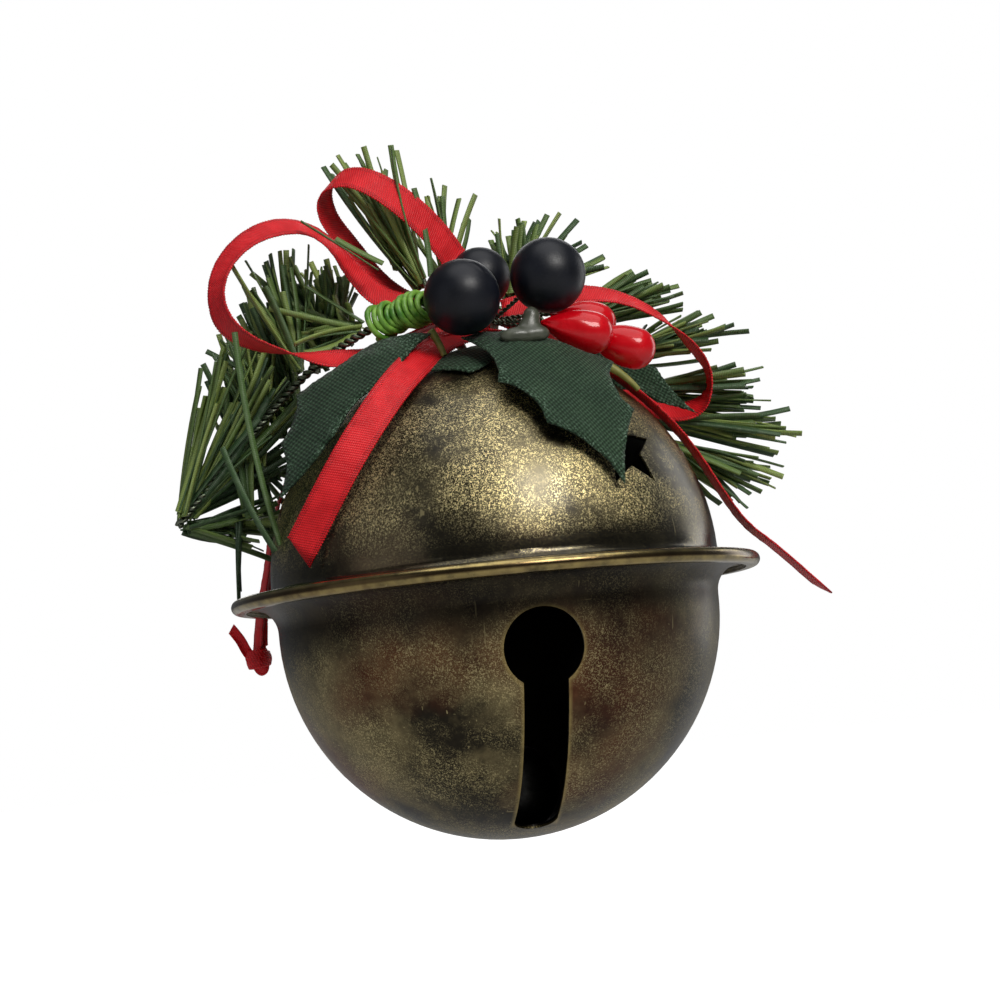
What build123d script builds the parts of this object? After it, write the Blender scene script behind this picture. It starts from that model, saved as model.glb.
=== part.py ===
from build123d import *
import math
import os

# A large brass jingle bell dressed as a hanging ornament.
# The bell is two stamped half shells crimped together at a rolled rim, with a
# loose steel ball inside. A wire loop through the crown carries a spray of
# artificial pine, holly, berries and a ribbon bow, and a ribbon to hang it by.
#
# Millimetres, +Z up. The origin is the middle of the crown loop's eye, which
# is where the ornament hangs. One keyhole of the lower bowl faces -Y.

os.makedirs("parts", exist_ok=True)

# ---- driving dimensions -------------------------------------------------

RIM_R = 50.0
SEAM_Z = -50.0
SHEET = 0.8
ROLL_R = 1.3

DOME_R = 42.3
DOME_Z = SEAM_Z + 2.3
DOME_FLARE = 2.0

BOWL_R = 41.6
BOWL_Z = SEAM_Z - 6.1
BOWL_FLARE = 5.0

KEYHOLE_ROUND_R = 7.05
KEYHOLE_SLOT_W = 7.9
KEYHOLE_ROUND_LAT = 10.5
KEYHOLE_END_LAT = 65.1

STAR_TIP_R = 8.2
STAR_NOTCH_R = 3.7
STAR_LAT = 25.3
STAR_FIRST_AZ = 30.4
STAR_COUNT = 3

BALL_R = 8.2
BALL_GAP = 0.3

LOOP_WIRE_R = 0.9
LOOP_LEG_X = 2.0
LOOP_HOLE_R = 1.15

RIBBON_TUBE_R = 1.0
CORNER_SHARE = 0.45

BERRY_R = 7.0
SMALL_BERRY_R = 5.8
RED_BERRY_R = 4.0
BERRY_WIRE_R = 0.45

STEM_R = 0.8
BINDING_COIL_R = 3.0
BINDING_WIRE_R = 0.6
BINDING_TURNS = 8

LEAF_THICKNESS = 0.35
LEAF_STEM_R = 0.7

NEEDLE_ROOT_R = 0.18
NEEDLE_TIP_R = 0.5
NEEDLE_ROOT_SHARE = 0.14
NEEDLE_FAN_DEPTH = 4.5


def save(shape, name):
    shape.label = name
    export_step(shape, f"parts/{name}.step")
    print(f"{name}: {len(shape.solids())} solid(s)")


def turned(outline):
    """Revolve a closed outline, given as edges in the XZ plane, about Z."""
    return revolve(make_face(outline), axis=Axis.Z, revolution_arc=360)


def arc_point(centre_x, centre_z, radius, degrees):
    """A point of a circle in the XZ plane, with the angle measured from +X."""
    angle = math.radians(degrees)
    return (centre_x + radius * math.cos(angle), 0, centre_z + radius * math.sin(angle))


def arc_between(centre_x, centre_z, radius, start, end):
    """The arc of a circle in the XZ plane from one angle to another."""
    return ThreePointArc(
        arc_point(centre_x, centre_z, radius, start),
        arc_point(centre_x, centre_z, radius, (start + end) / 2),
        arc_point(centre_x, centre_z, radius, end),
    )


# ---- the two half shells ------------------------------------------------


def upper_blank():
    """Dome, flared foot and the rim roll that is clinched under the bowl's edge."""
    top = SEAM_Z + ROLL_R
    flare_z = top + DOME_FLARE
    reach = DOME_R + DOME_FLARE
    flare_x = math.sqrt(reach**2 - (flare_z - DOME_Z) ** 2)
    tilt = math.degrees(math.atan2(flare_z - DOME_Z, flare_x))
    inner_r = DOME_R - SHEET
    roll_x = RIM_R - ROLL_R
    lip_x = roll_x - 1.4
    outer = [
        arc_between(0, DOME_Z, DOME_R, 90, tilt),
        arc_between(flare_x, flare_z, DOME_FLARE, 180 + tilt, 270),
        Line((flare_x, 0, top), (roll_x, 0, top)),
        arc_between(roll_x, SEAM_Z, ROLL_R, 90, -90),
        Line((roll_x, 0, SEAM_Z - ROLL_R), (lip_x, 0, SEAM_Z - ROLL_R)),
        Line((lip_x, 0, SEAM_Z - ROLL_R), (lip_x, 0, SEAM_Z - ROLL_R + SHEET)),
    ]
    inner = [
        Line((lip_x, 0, SEAM_Z - ROLL_R + SHEET), (roll_x, 0, SEAM_Z - ROLL_R + SHEET)),
        arc_between(roll_x, SEAM_Z, ROLL_R - SHEET, -90, 90),
        Line((roll_x, 0, top - SHEET), (flare_x, 0, top - SHEET)),
        arc_between(flare_x, flare_z, DOME_FLARE + SHEET, 270, 180 + tilt),
        arc_between(0, DOME_Z, inner_r, tilt, 90),
        Line((0, 0, DOME_Z + inner_r), (0, 0, DOME_Z + DOME_R)),
    ]
    return turned(outer + inner)


def lower_blank():
    """Bowl that flares out under the rim into a flat edge held in the roll."""
    edge_half = SHEET / 2
    flare_z = SEAM_Z - edge_half - BOWL_FLARE
    reach = BOWL_R + BOWL_FLARE
    flare_x = math.sqrt(reach**2 - (flare_z - BOWL_Z) ** 2)
    tilt = math.degrees(math.atan2(flare_z - BOWL_Z, flare_x))
    inner_r = BOWL_R - SHEET
    edge_x = RIM_R - ROLL_R
    outline = [
        arc_between(0, BOWL_Z, BOWL_R, -90, tilt),
        arc_between(flare_x, flare_z, BOWL_FLARE, 180 + tilt, 90),
        Line((flare_x, 0, SEAM_Z - edge_half), (edge_x, 0, SEAM_Z - edge_half)),
        Line((edge_x, 0, SEAM_Z - edge_half), (edge_x, 0, SEAM_Z + edge_half)),
        Line((edge_x, 0, SEAM_Z + edge_half), (flare_x, 0, SEAM_Z + edge_half)),
        arc_between(flare_x, flare_z, BOWL_FLARE + SHEET, 90, 180 + tilt),
        arc_between(0, BOWL_Z, inner_r, tilt, -90),
        Line((0, 0, BOWL_Z - inner_r), (0, 0, BOWL_Z - BOWL_R)),
    ]
    return turned(outline)


def radial_plane(centre_z, latitude, azimuth):
    """Plane facing outwards from a sphere on the axis; azimuth 0 faces -Y."""
    lat = math.radians(latitude)
    az = math.radians(azimuth)
    facing = (math.cos(lat) * math.sin(az), -math.cos(lat) * math.cos(az), math.sin(lat))
    across = (math.cos(az), math.sin(az), 0)
    return Plane(origin=(0, 0, centre_z), x_dir=across, z_dir=facing)


def punch(profile, depth=60.0):
    """A cutter that reaches outwards from the bell's axis through one wall."""
    return extrude(profile, amount=depth)


def keyhole_cutter(azimuth):
    """A round hole and a parallel slot that runs down towards the pole."""
    round_plane = radial_plane(BOWL_Z, -KEYHOLE_ROUND_LAT, azimuth)
    end_plane = radial_plane(BOWL_Z, -KEYHOLE_END_LAT, azimuth)
    round_hole = punch(round_plane * Circle(KEYHOLE_ROUND_R))
    slot_end = punch(end_plane * Circle(KEYHOLE_SLOT_W / 2))
    far = 60.0
    high = arc_point(0, 0, far, 180 + KEYHOLE_ROUND_LAT)
    middle = arc_point(0, 0, far * 1.2, 180 + (KEYHOLE_ROUND_LAT + KEYHOLE_END_LAT) / 2)
    low = arc_point(0, 0, far, 180 + KEYHOLE_END_LAT)
    corners = [(p[0], p[2]) for p in ((0, 0, 0), high, middle, low)]
    wedge_plane = Plane(origin=(0, 0, BOWL_Z), x_dir=(0, 1, 0), z_dir=(1, 0, 0)).rotated((0, 0, azimuth))
    wedge = wedge_plane * make_face(Polyline(*corners, close=True))
    slot = extrude(wedge, amount=KEYHOLE_SLOT_W / 2, both=True)
    return round_hole + slot + slot_end


def star_cutter(azimuth):
    """A five-pointed star that stands on two tips."""
    corners = []
    for step in range(10):
        radius = STAR_TIP_R if step % 2 == 0 else STAR_NOTCH_R
        angle = math.radians(90 + 36 * step)
        corners.append((radius * math.cos(angle), radius * math.sin(angle)))
    star = make_face(Polyline(*corners, close=True))
    return punch(radial_plane(DOME_Z, STAR_LAT, azimuth) * star)


def make_upper_shell():
    shell = upper_blank()
    for index in range(STAR_COUNT):
        shell -= star_cutter(STAR_FIRST_AZ + 360 / STAR_COUNT * index)
    for side in (-1, 1):
        shell -= Pos(side * LOOP_LEG_X, 0, DOME_Z + DOME_R) * Cylinder(LOOP_HOLE_R, 6)
    return shell


def make_lower_bowl():
    return lower_blank() - keyhole_cutter(0) - keyhole_cutter(180)


# ---- tubes and wires ----------------------------------------------------


def corner_radii(points):
    """For each corner, the arc whose tangents take CORNER_SHARE of its shorter run."""
    spots = [Vector(*p) for p in points]
    radii = []
    for before, here, after in zip(spots, spots[1:], spots[2:]):
        run_in = here - before
        run_out = after - here
        half_turn = math.radians(run_in.get_angle(run_out)) / 2
        radii.append(CORNER_SHARE * min(run_in.length, run_out.length) / math.tan(half_turn))
    return radii


def tube(points, radius, radii=None):
    """A round tube along straight runs joined by tangent arcs."""
    radii = radii or corner_radii(points)
    path = FilletPolyline(*points, radius=radii)
    start = Plane(origin=path @ 0, z_dir=path % 0)
    return sweep(start * Circle(radius), path=path), path.length, radii


def wire(points, radius, radii=None):
    return tube(points, radius, radii)[0]


def rod(start, end, radius):
    """A straight round rod between two points."""
    reach = Vector(*end) - Vector(*start)
    return Plane(origin=start, z_dir=reach) * extrude(Circle(radius), amount=reach.length)


def make_crown_loop():
    """A wire bail: an eye above the crown, and two feet splayed inside it."""
    left = [(-10, 0, -9.2), (-2, 0, -7.9), (-2, 0, -4.2), (-4.8, 0, -0.5), (-3.4, 0, 4.2)]
    right = [(-x, y, z) for x, y, z in reversed(left)]
    bends = [1.2, 1.8, 2.6, 2.4]
    return wire(left + right, LOOP_WIRE_R, bends + bends[::-1])


# ---- ribbons and the hanger ---------------------------------------------
# Each ribbon is a plain tube along its middle line. Points are chosen by hand.

RIBBON_ROUTES = {
    "bow_loop_upper": [
        (2.6, 1.8, 6.4), (-0.2, 3.3, 12.0), (-4.3, 0.7, 17.9), (-9.9, -1.4, 23.6),
        (-16.2, -1.3, 28.7), (-21.2, 2.0, 31.4), (-24.8, 6.6, 30.4), (-25.0, 9.2, 25.6),
        (-20.8, 9.6, 19.4), (-16.1, 8.9, 11.8), (-11.1, 6.9, 7.2), (-5.8, 4.9, 4.6),
    ],
    "bow_loop_left": [
        (-4.2, 2.6, 2.6), (-10.4, 1.8, 4.9), (-17.0, 1.1, 6.6), (-21.4, 1.7, 12.3),
        (-24.7, 1.2, 17.4), (-29.0, 0.8, 21.0), (-35.0, 0.4, 21.8), (-41.4, -0.8, 19.4),
        (-46.4, -2.0, 14.4), (-48.4, -3.0, 8.4), (-47.4, -4.1, 2.6), (-42.6, -5.0, -1.6),
        (-36.0, -6.0, -3.9), (-27.5, -7.5, -6.2), (-19.9, -7.6, -5.4), (-12.1, -7.3, -3.5),
        (-5.2, -5.6, -1.4),
    ],
    "bow_loop_right": [
        (6.6, 0.8, 2.8), (14.5, -1.5, 4.2), (22.0, -3.8, 4.4), (29.5, -3.8, 3.2),
        (37.0, -3.4, -1.0), (42.8, -1.8, -6.6), (46.8, 0.2, -12.6), (45.6, 2.6, -18.0),
        (40.0, 4.4, -19.4), (33.4, 5.2, -16.8), (27.0, 5.2, -11.6), (19.6, 4.8, -5.4),
        (12.4, 3.8, -0.9), (6.0, 2.0, 1.8),
    ],
    "bow_tail_left": [
        (-1.6, -6.4, -2.4), (-5.3, -8.6, -3.6), (-9.6, -12.4, -5.8), (-14.2, -19.4, -9.6),
        (-19.0, -24.6, -14.2), (-24.0, -27.4, -20.2), (-29.2, -28.4, -27.2),
        (-34.0, -26.8, -34.8), (-38.6, -23.0, -42.6),
    ],
    "bow_tail_right": [
        (2.2, -6.4, -3.0), (8.6, -10.0, -4.6), (15.3, -11.7, -7.3), (22.3, -12.9, -11.8),
        (28.6, -12.9, -17.4), (34.4, -12.5, -23.4), (39.0, -12.1, -30.2),
        (42.6, -12.1, -37.2), (46.8, -11.3, -43.6), (52.6, -10.9, -48.2), (60.6, -10.4, -56.4),
    ],
    "hanger_strand_left": [
        (-2.6, 2.4, 1.6), (-9.0, 9.6, 1.2), (-17.6, 15.8, -3.2), (-26.6, 21.2, -10.6),
        (-35.4, 24.8, -20.0), (-41.2, 26.6, -31.4), (-43.6, 28.6, -42.0),
        (-45.2, 30.4, -49.6), (-44.6, 29.8, -56.6),
    ],
    "hanger_strand_right": [
        (0.4, 3.6, 1.4), (-5.4, 12.2, 0.6), (-13.4, 19.4, -3.8), (-22.2, 25.2, -11.2),
        (-31.0, 28.8, -20.6), (-37.0, 30.6, -31.8), (-39.8, 32.4, -42.2),
        (-42.0, 33.8, -49.6), (-42.6, 32.0, -56.8),
    ],
}


def make_ribbons():
    for name, route in RIBBON_ROUTES.items():
        solid, length, radii = tube(route, RIBBON_TUBE_R)
        share = solid.volume / (math.pi * RIBBON_TUBE_R**2 * length)
        print(f"{name}: {length:.0f} mm, volume share {share:.3f}, radii", [round(r, 1) for r in radii])
        save(solid, name)


BOW_KNOT = (-0.5, -4.4, -1.2)


def make_bow_knot():
    """The tied middle of the bow, in front of the eye."""
    return Pos(*BOW_KNOT) * scale(Sphere(1), by=(4.4, 2.9, 2.6))


def make_hanger_knot():
    """An overhand knot that joins the two strands, with its cut end turned up."""
    lump = Pos(-43.7, 30.6, -59.4) * Sphere(2.6)
    end = rod((-44.5, 30.2, -59.0), (-48.4, 29.2, -53.0), 0.9)
    return lump + end


# ---- pine ---------------------------------------------------------------


def make_stems():
    """Twisted wire stems of the three pine sprigs."""
    left = [
        (-5.0, -11.2, 3.5), (-10.4, -10.4, 2.1), (-19.2, -9.1, -0.2), (-30.0, -1.0, -5.0),
        (-40.0, 4.6, -14.0), (-50.0, 7.4, -24.0), (-58.2, 8.0, -33.2),
    ]
    upper = [(-3.4, -2.4, 5.6), (-5.2, 0.6, 7.0), (-7.6, 3.0, 9.2), (-10.4, 4.4, 12.8), (-12.4, 5.0, 17.4)]
    right = [
        (3.0, 5.4, 3.4), (10.4, 7.0, 5.2), (18.0, 7.6, -0.4), (26.8, 8.0, -7.6),
        (33.2, 8.0, -14.4), (38.4, 7.6, -23.4),
    ]
    return {
        "pine_stem_left": wire(left, STEM_R),
        "pine_stem_upper": wire(upper, STEM_R),
        "pine_stem_right": wire(right, STEM_R),
    }


def needle(root, tip):
    """One needle, narrow at its root, as a slim cone that stands in for a flat blade."""
    root = Vector(*root)
    reach = Vector(*tip) - root
    start = root + reach * NEEDLE_ROOT_SHARE
    length = reach.length * (1 - NEEDLE_ROOT_SHARE)
    cone = Cone(NEEDLE_ROOT_R, NEEDLE_TIP_R, length, align=(Align.CENTER, Align.CENTER, Align.MIN))
    return Plane(origin=start, z_dir=reach) * cone


def needle_fan(root, first_tip, last_tip, count):
    """Needles from one root whose tips run from one point to another on a bowed line."""
    root = Vector(*root)
    first = Vector(*first_tip)
    last = Vector(*last_tip)
    blades = []
    for index in range(count):
        share = index / (count - 1)
        tip = first + (last - first) * share
        reach = (first - root).length * (1 - share) + (last - root).length * share
        depth = NEEDLE_FAN_DEPTH * (index % 3 - 1)
        aim = (tip - root).normalized() * reach + Vector(0, depth, 0)
        start = root + Vector(0, depth / 2, 0)
        blades.append(needle(start, root + aim))
    return Compound(children=blades)


NEEDLE_FANS = {
    "needles_left_end_upper": ((-57.7, 7.8, -32.4), (-51.4, 2.7, -3.4), (-42.9, 5.3, 2.7), 8),
    "needles_left_end_middle": ((-56.4, 9.7, -31.8), (-39.9, 3.8, 0.7), (-33.5, 7.8, -11.7), 8),
    "needles_left_end_lower": ((-56.9, 12.8, -33.4), (-39.5, 19.0, -28.0), (-41.5, 21.0, -39.2), 6),
    "needles_left_front": ((-40.4, -8.8, -41.6), (-45.8, -10.4, 1.4), (-49.6, -9.0, -21.8), 2),
    "needles_left_middle": ((-33.1, 6.4, -5.7), (-43.7, 5.1, 14.1), (-30.6, 9.3, 19.6), 9),
    "needles_left_inner": ((-27.0, 8.2, -1.0), (-29.8, 12.3, 16.8), (-21.0, 13.0, 14.1), 6),
    "needles_left_short": ((-20.7, 2.6, 1.6), (-34.4, 7.0, 7.4), (-35.0, 1.6, -1.2), 7),
    "needles_top_left": ((-7.9, 3.3, 8.4), (-23.2, 4.4, 34.2), (-11.7, 3.0, 37.4), 8),
    "needles_top_right": ((-3.0, 6.8, 9.0), (-7.6, 8.4, 30.7), (4.8, 8.3, 27.0), 5),
    "needles_crown_right": ((9.4, 8.6, 6.4), (7.1, 8.9, 20.3), (31.9, 7.7, 11.2), 11),
    "needles_right_first": ((18.0, 9.0, -0.6), (37.7, 8.7, 8.6), (46.0, 6.3, 2.8), 8),
    "needles_right_second": ((26.8, 9.2, -7.4), (49.1, 6.7, 1.0), (50.4, 6.7, -7.0), 8),
    "needles_right_third": ((32.3, 9.4, -13.8), (56.8, 6.4, -9.1), (57.9, 6.4, -17.6), 8),
    "needles_right_fourth": ((35.2, 9.2, -19.2), (60.6, 5.8, -20.2), (62.3, 5.5, -28.6), 8),
    "needles_right_fifth": ((37.1, 9.0, -24.2), (59.1, 6.0, -31.6), (51.0, 6.4, -38.4), 8),
}


def make_binding_wire():
    """Close turns of soft wire that bind the left sprig, as rings along the stem."""
    start = Vector(-18.6, -9.2, 0.0)
    end = Vector(-9.4, -10.55, 2.4)
    along = end - start
    turns = []
    for index in range(BINDING_TURNS):
        centre = start + along * (index / (BINDING_TURNS - 1))
        turns.append(Plane(origin=centre, z_dir=along) * Torus(BINDING_COIL_R, BINDING_WIRE_R))
    return Compound(children=turns)


# ---- holly --------------------------------------------------------------
# A leaf is cut from a thin spherical skin, so that it bends over the bell.
# Its outline, seen from the front as (x, z), goes spike, hollow, spike, ...

HOLLY_LEAVES = {
    "holly_leaf_front": (
        [
            (-3.4, -5.8), (-1.0, -11.0), (-2.2, -16.4), (2.6, -19.6), (4.6, -25.0),
            (10.2, -28.0), (17.4, -36.6), (18.8, -29.5), (22.2, -22.8), (19.4, -17.5),
            (22.0, -12.4), (14.5, -9.2), (5.6, -5.0), (1.0, -4.6),
        ],
        (0, 0, -44.7),
        43.6,
    ),
    "holly_leaf_left": (
        [
            (-10.5, -4.0), (-15.5, -8.0), (-19.5, -13.2), (-24.5, -15.2), (-28.5, -19.5),
            (-33.2, -25.2), (-40.5, -32.0), (-38.8, -26.7), (-39.0, -21.5), (-36.2, -17.0),
            (-35.0, -12.0), (-27.5, -8.0), (-21.0, -4.4), (-15.5, -3.4),
        ],
        (3.2, 15.6, -47.6),
        56.0,
    ),
    "holly_leaf_right": (
        [
            (21.0, -6.0), (28.0, -8.0), (35.2, -11.0), (37.8, -15.2), (42.5, -20.2),
            (38.2, -18.6), (34.6, -17.6), (31.6, -15.6), (27.5, -14.6), (23.8, -11.2),
        ],
        (32, 117.8, -13),
        120.0,
    ),
    "holly_leaf_under": (
        [(-13.2, -11.4), (-8.5, -8.9), (-2.5, -7.8), (-3.6, -10.4), (-5.6, -12.9), (-9.5, -11.6)],
        (0, 0, DOME_Z),
        43.0,
    ),
}


def holly_leaf(outline, centre, radius):
    edges = []
    count = len(outline)
    for index in range(0, count, 2):
        stretch = [outline[(index + step) % count] for step in range(3)]
        edges.append(ThreePointArc(*[(x, 0, z) for x, z in stretch]))
    prism = extrude(make_face(edges), amount=60, dir=(0, -1, 0))
    prism = Pos(0, 2, 0) * prism
    inside = prism & (Pos(*centre) * Sphere(radius + LEAF_THICKNESS))
    return inside - Pos(*centre) * Sphere(radius)


def make_leaf_stems():
    """Moulded olive stems of the left and right leaves."""
    left = rod((-9.9, -15.4, -4.2), (-8.5, -15.6, -7.6), LEAF_STEM_R)
    right = rod((23.3, -15.8, -13.0), (27.2, -15.6, -16.4), LEAF_STEM_R)
    return Compound(children=[left, right])


# ---- berries and glue ---------------------------------------------------

DARK_BERRIES = {
    "dark_berry_left": ((-4.8, -20.5, 1.6), BERRY_R),
    "dark_berry_right": ((12.0, -18.3, 5.2), BERRY_R),
    "dark_berry_middle": ((1.4, -6.6, 7.9), SMALL_BERRY_R),
}

RED_BERRIES = {
    "red_berry_front": ((9.6, -19.0, -3.6), (22.9, -18.6, -7.2)),
    "red_berry_outer": ((18.6, -13.6, -5.6), (31.6, -15.2, -10.2)),
    "red_berry_back": ((13.6, -9.4, -0.2), (26.2, -8.4, -3.6)),
}


def red_berry(root, end):
    """A teardrop: a ball at the end, drawn out to a point at the root."""
    axis = Vector(*end) - Vector(*root)
    ball_z = axis.length - RED_BERRY_R
    touch = math.degrees(math.acos(RED_BERRY_R / ball_z))
    side = (ball_z - RED_BERRY_R * math.cos(math.radians(touch)), RED_BERRY_R * math.sin(math.radians(touch)))
    outline = [
        Line((0, 0, 0), (side[1], 0, side[0])),
        arc_between(0, ball_z, RED_BERRY_R, touch - 90, 90),
        Line((0, 0, axis.length), (0, 0, 0)),
    ]
    return Plane(origin=root, z_dir=axis) * turned(outline)


def wires_from_knot(starts_and_ends):
    """Short straight wires, given by how far each starts from the knot's middle."""
    knot = Vector(*BOW_KNOT)
    return Compound(children=[rod(knot + start, end, BERRY_WIRE_R) for start, end in starts_and_ends])


def berry_side(name, start):
    """Where a wire from the knot meets a dark berry."""
    centre, radius = DARK_BERRIES[name]
    centre = Vector(*centre)
    return centre + (Vector(*BOW_KNOT) + start - centre).normalized() * radius


def make_dark_berry_wires():
    """Wires from the knot to the dark berries."""
    starts = {
        "dark_berry_left": Vector(-2.4, -2.6, 0.4),
        "dark_berry_right": Vector(3.4, -2.0, 0.8),
        "dark_berry_middle": Vector(1.2, -0.4, 2.7),
    }
    return wires_from_knot([(start, berry_side(name, start)) for name, start in starts.items()])


def make_red_berry_wires():
    """Wires from the knot to the red berries' points."""
    starts = {
        "red_berry_front": Vector(1.4, -3.0, 0.6),
        "red_berry_outer": Vector(3.8, -2.2, 0.2),
        "red_berry_back": Vector(4.2, 0.4, 1.2),
    }
    return wires_from_knot([(start, RED_BERRIES[name][0]) for name, start in starts.items()])


def make_glue_blob():
    """The set drop of hot-melt glue between the berries."""
    low = Pos(4.6, -22.4, -6.0) * scale(Sphere(1), by=(4.2, 2.6, 1.9))
    high = Pos(6.0, -21.6, -3.2) * scale(Sphere(1), by=(1.9, 1.9, 2.4))
    return low + high


def main():
    save(make_upper_shell(), "upper_shell")
    save(make_lower_bowl(), "lower_bowl")
    ball_z = BOWL_Z - BOWL_R + SHEET + BALL_R + BALL_GAP
    save(Pos(0, 0, ball_z) * Sphere(BALL_R), "loose_ball")
    save(make_crown_loop(), "crown_loop")
    save(make_bow_knot(), "bow_knot")
    make_ribbons()
    save(make_hanger_knot(), "hanger_knot")
    for name, stem in make_stems().items():
        save(stem, name)
    save(make_binding_wire(), "binding_wire")
    for name, fan in NEEDLE_FANS.items():
        save(needle_fan(*fan), name)
    for name, leaf in HOLLY_LEAVES.items():
        save(holly_leaf(*leaf), name)
    save(make_leaf_stems(), "leaf_stems")
    for name, (centre, radius) in DARK_BERRIES.items():
        save(Pos(*centre) * Sphere(radius), name)
    for name, (root, end) in RED_BERRIES.items():
        save(red_berry(root, end), name)
    save(make_dark_berry_wires(), "dark_berry_wires")
    save(make_red_berry_wires(), "red_berry_wires")
    save(make_glue_blob(), "glue_blob")


main()
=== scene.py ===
# %% [markdown]
# # A dressed jingle bell
# The ornament is a big brass jingle bell. Two stamped half shells are crimped
# together at a rolled rim, and a steel ball rolls about inside. A wire loop in
# the crown carries a spray of artificial pine, holly, berries and a red bow.
# This lesson builds the looks of those pieces around a measured model, which
# stays where it is: the metal shells keep their measured shape and get a rich
# finish, and the soft pieces are remade as what they really are.

# %% Load the measured model
import math
import random

import bmesh
import bpy
from mathutils import Matrix, Vector
from mathutils.geometry import delaunay_2d_cdt


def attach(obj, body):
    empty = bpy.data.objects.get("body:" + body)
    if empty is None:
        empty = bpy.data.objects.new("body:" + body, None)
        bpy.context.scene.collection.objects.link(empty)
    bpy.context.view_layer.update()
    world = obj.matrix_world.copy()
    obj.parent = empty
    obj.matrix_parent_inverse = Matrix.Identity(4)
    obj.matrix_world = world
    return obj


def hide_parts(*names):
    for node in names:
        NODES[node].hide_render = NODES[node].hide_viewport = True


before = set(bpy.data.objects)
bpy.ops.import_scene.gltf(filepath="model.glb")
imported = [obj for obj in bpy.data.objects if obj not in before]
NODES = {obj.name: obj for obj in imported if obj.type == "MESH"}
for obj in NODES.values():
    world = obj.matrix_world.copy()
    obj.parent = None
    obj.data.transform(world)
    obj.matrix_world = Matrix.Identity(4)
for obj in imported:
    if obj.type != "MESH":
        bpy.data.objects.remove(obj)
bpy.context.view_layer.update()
MM = 0.001

# %% [markdown]
# ## Camera
# A camera is placed by its own three axes. It stands a little left of the
# front, just above the bell's foot, looks slightly up, and leans by a few
# degrees. A long lens keeps the round bell from looking stretched.

# %% Place the camera
def hold(name, data):
    """An object in the scene that holds some data."""
    holder = bpy.data.objects.new(name, data)
    bpy.context.collection.objects.link(holder)
    return holder


camera_data = bpy.data.cameras.new("camera")
camera_data.sensor_width = 36.0
camera_data.lens = 75.93
camera = hold("camera", camera_data)
camera_right = Vector((0.98002, -0.17375, -0.09678))
camera_up = Vector((0.07772, -0.11335, 0.99051))
camera_back = camera_right.cross(camera_up)
camera_spot = Vector((-0.0712, -0.3932, -0.0731))
camera_turn = Matrix((camera_right, camera_up, camera_back)).transposed().to_4x4()
camera.matrix_world = Matrix.Translation(camera_spot) @ camera_turn
bpy.context.scene.camera = camera
print("camera looks along", [round(-c, 3) for c in camera_back])

# %% [markdown]
# ## Small helpers for node trees
# Shaders and Geometry Nodes are both graphs. One short function adds a node,
# sets its options and fills its sockets, either with a value or with the
# output of another node. A second one opens a group with named sockets, so
# that an effect is built once and used by several finishes.

# %% Helpers that build graphs
def add(tree, kind, options=None, sockets=None):
    """Add a node and give it options and socket values, or links."""
    node = tree.nodes.new(kind)
    for key, value in (options or {}).items():
        setattr(node, key, value)
    for key, value in (sockets or {}).items():
        if isinstance(value, bpy.types.NodeSocket):
            tree.links.new(value, node.inputs[key])
        else:
            node.inputs[key].default_value = value
    return node


def out(node, key=0):
    return node.outputs[key]


def maths(tree, operation, *values):
    """A Math node with the given operation, and its result."""
    node = add(tree, "ShaderNodeMath", {"operation": operation}, dict(enumerate(values)))
    return out(node)


def times(tree, first, second):
    return maths(tree, "MULTIPLY", first, second)


def plus(tree, first, second):
    return maths(tree, "ADD", first, second)


def minus(tree, first, second):
    return maths(tree, "SUBTRACT", first, second)


def long_side(tree, first, second):
    """The long side of a right triangle with these two short ones."""
    return maths(tree, "POWER", plus(tree, times(tree, first, first), times(tree, second, second)), 0.5)


def mix_colours(tree, share, first, second):
    """Blend two colours, and return the result."""
    node = add(tree, "ShaderNodeMix", {"data_type": "RGBA"}, {0: share, 6: first, 7: second})
    return out(node, 2)


def spread(tree, value, low, high, to_low=0.0, to_high=1.0):
    """Map a value from one range to another, held inside the new range."""
    node = add(tree, "ShaderNodeMapRange", None, {0: value, 1: low, 2: high, 3: to_low, 4: to_high})
    return out(node)


def noise(tree, where, scale, detail=2.0, roughness=0.5):
    sockets = {"Vector": where, "Scale": scale, "Detail": detail, "Roughness": roughness}
    return out(add(tree, "ShaderNodeTexNoise", None, sockets))


def open_group(name, kind, inputs, outputs):
    """A node group with named inputs and outputs. Inputs are (name, type, default)."""
    tree = bpy.data.node_groups.new(name, kind)
    for title, socket_type, default in inputs:
        socket = tree.interface.new_socket(name=title, in_out="INPUT", socket_type=socket_type)
        if default is not None:
            socket.default_value = default
    for title, socket_type in outputs:
        tree.interface.new_socket(name=title, in_out="OUTPUT", socket_type=socket_type)
    return tree, tree.nodes.new("NodeGroupInput"), tree.nodes.new("NodeGroupOutput")


def open_finish(name):
    """A new material, its tree, its Principled shader, and the place on the piece."""
    finish = bpy.data.materials.new(name)
    finish.use_nodes = True
    tree = finish.node_tree
    return finish, tree, tree.nodes["Principled BSDF"], out(add(tree, "ShaderNodeTexCoord"), "Object")


def fill(shader, **values):
    """Set plain numbers and colours on the shader's own sockets."""
    for key, value in values.items():
        shader.inputs[key.replace("_", " ")].default_value = value


def dress(tree, shader, colour, rough, height, strength, depth, **values):
    """Link the colour, roughness and bump of a finish, and set its plain values."""
    bump = add(tree, "ShaderNodeBump", None, {"Strength": strength, "Distance": depth, "Height": height})
    for title, value in (("Base Color", colour), ("Roughness", rough), ("Normal", out(bump))):
        tree.links.new(value, shader.inputs[title])
    fill(shader, **values)


def drifting(tree, cloud, first, second, high=0.65):
    """A colour that drifts from the first to the second with a cloud."""
    return mix_colours(tree, spread(tree, cloud, 0.35, high), first, second)


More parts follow.
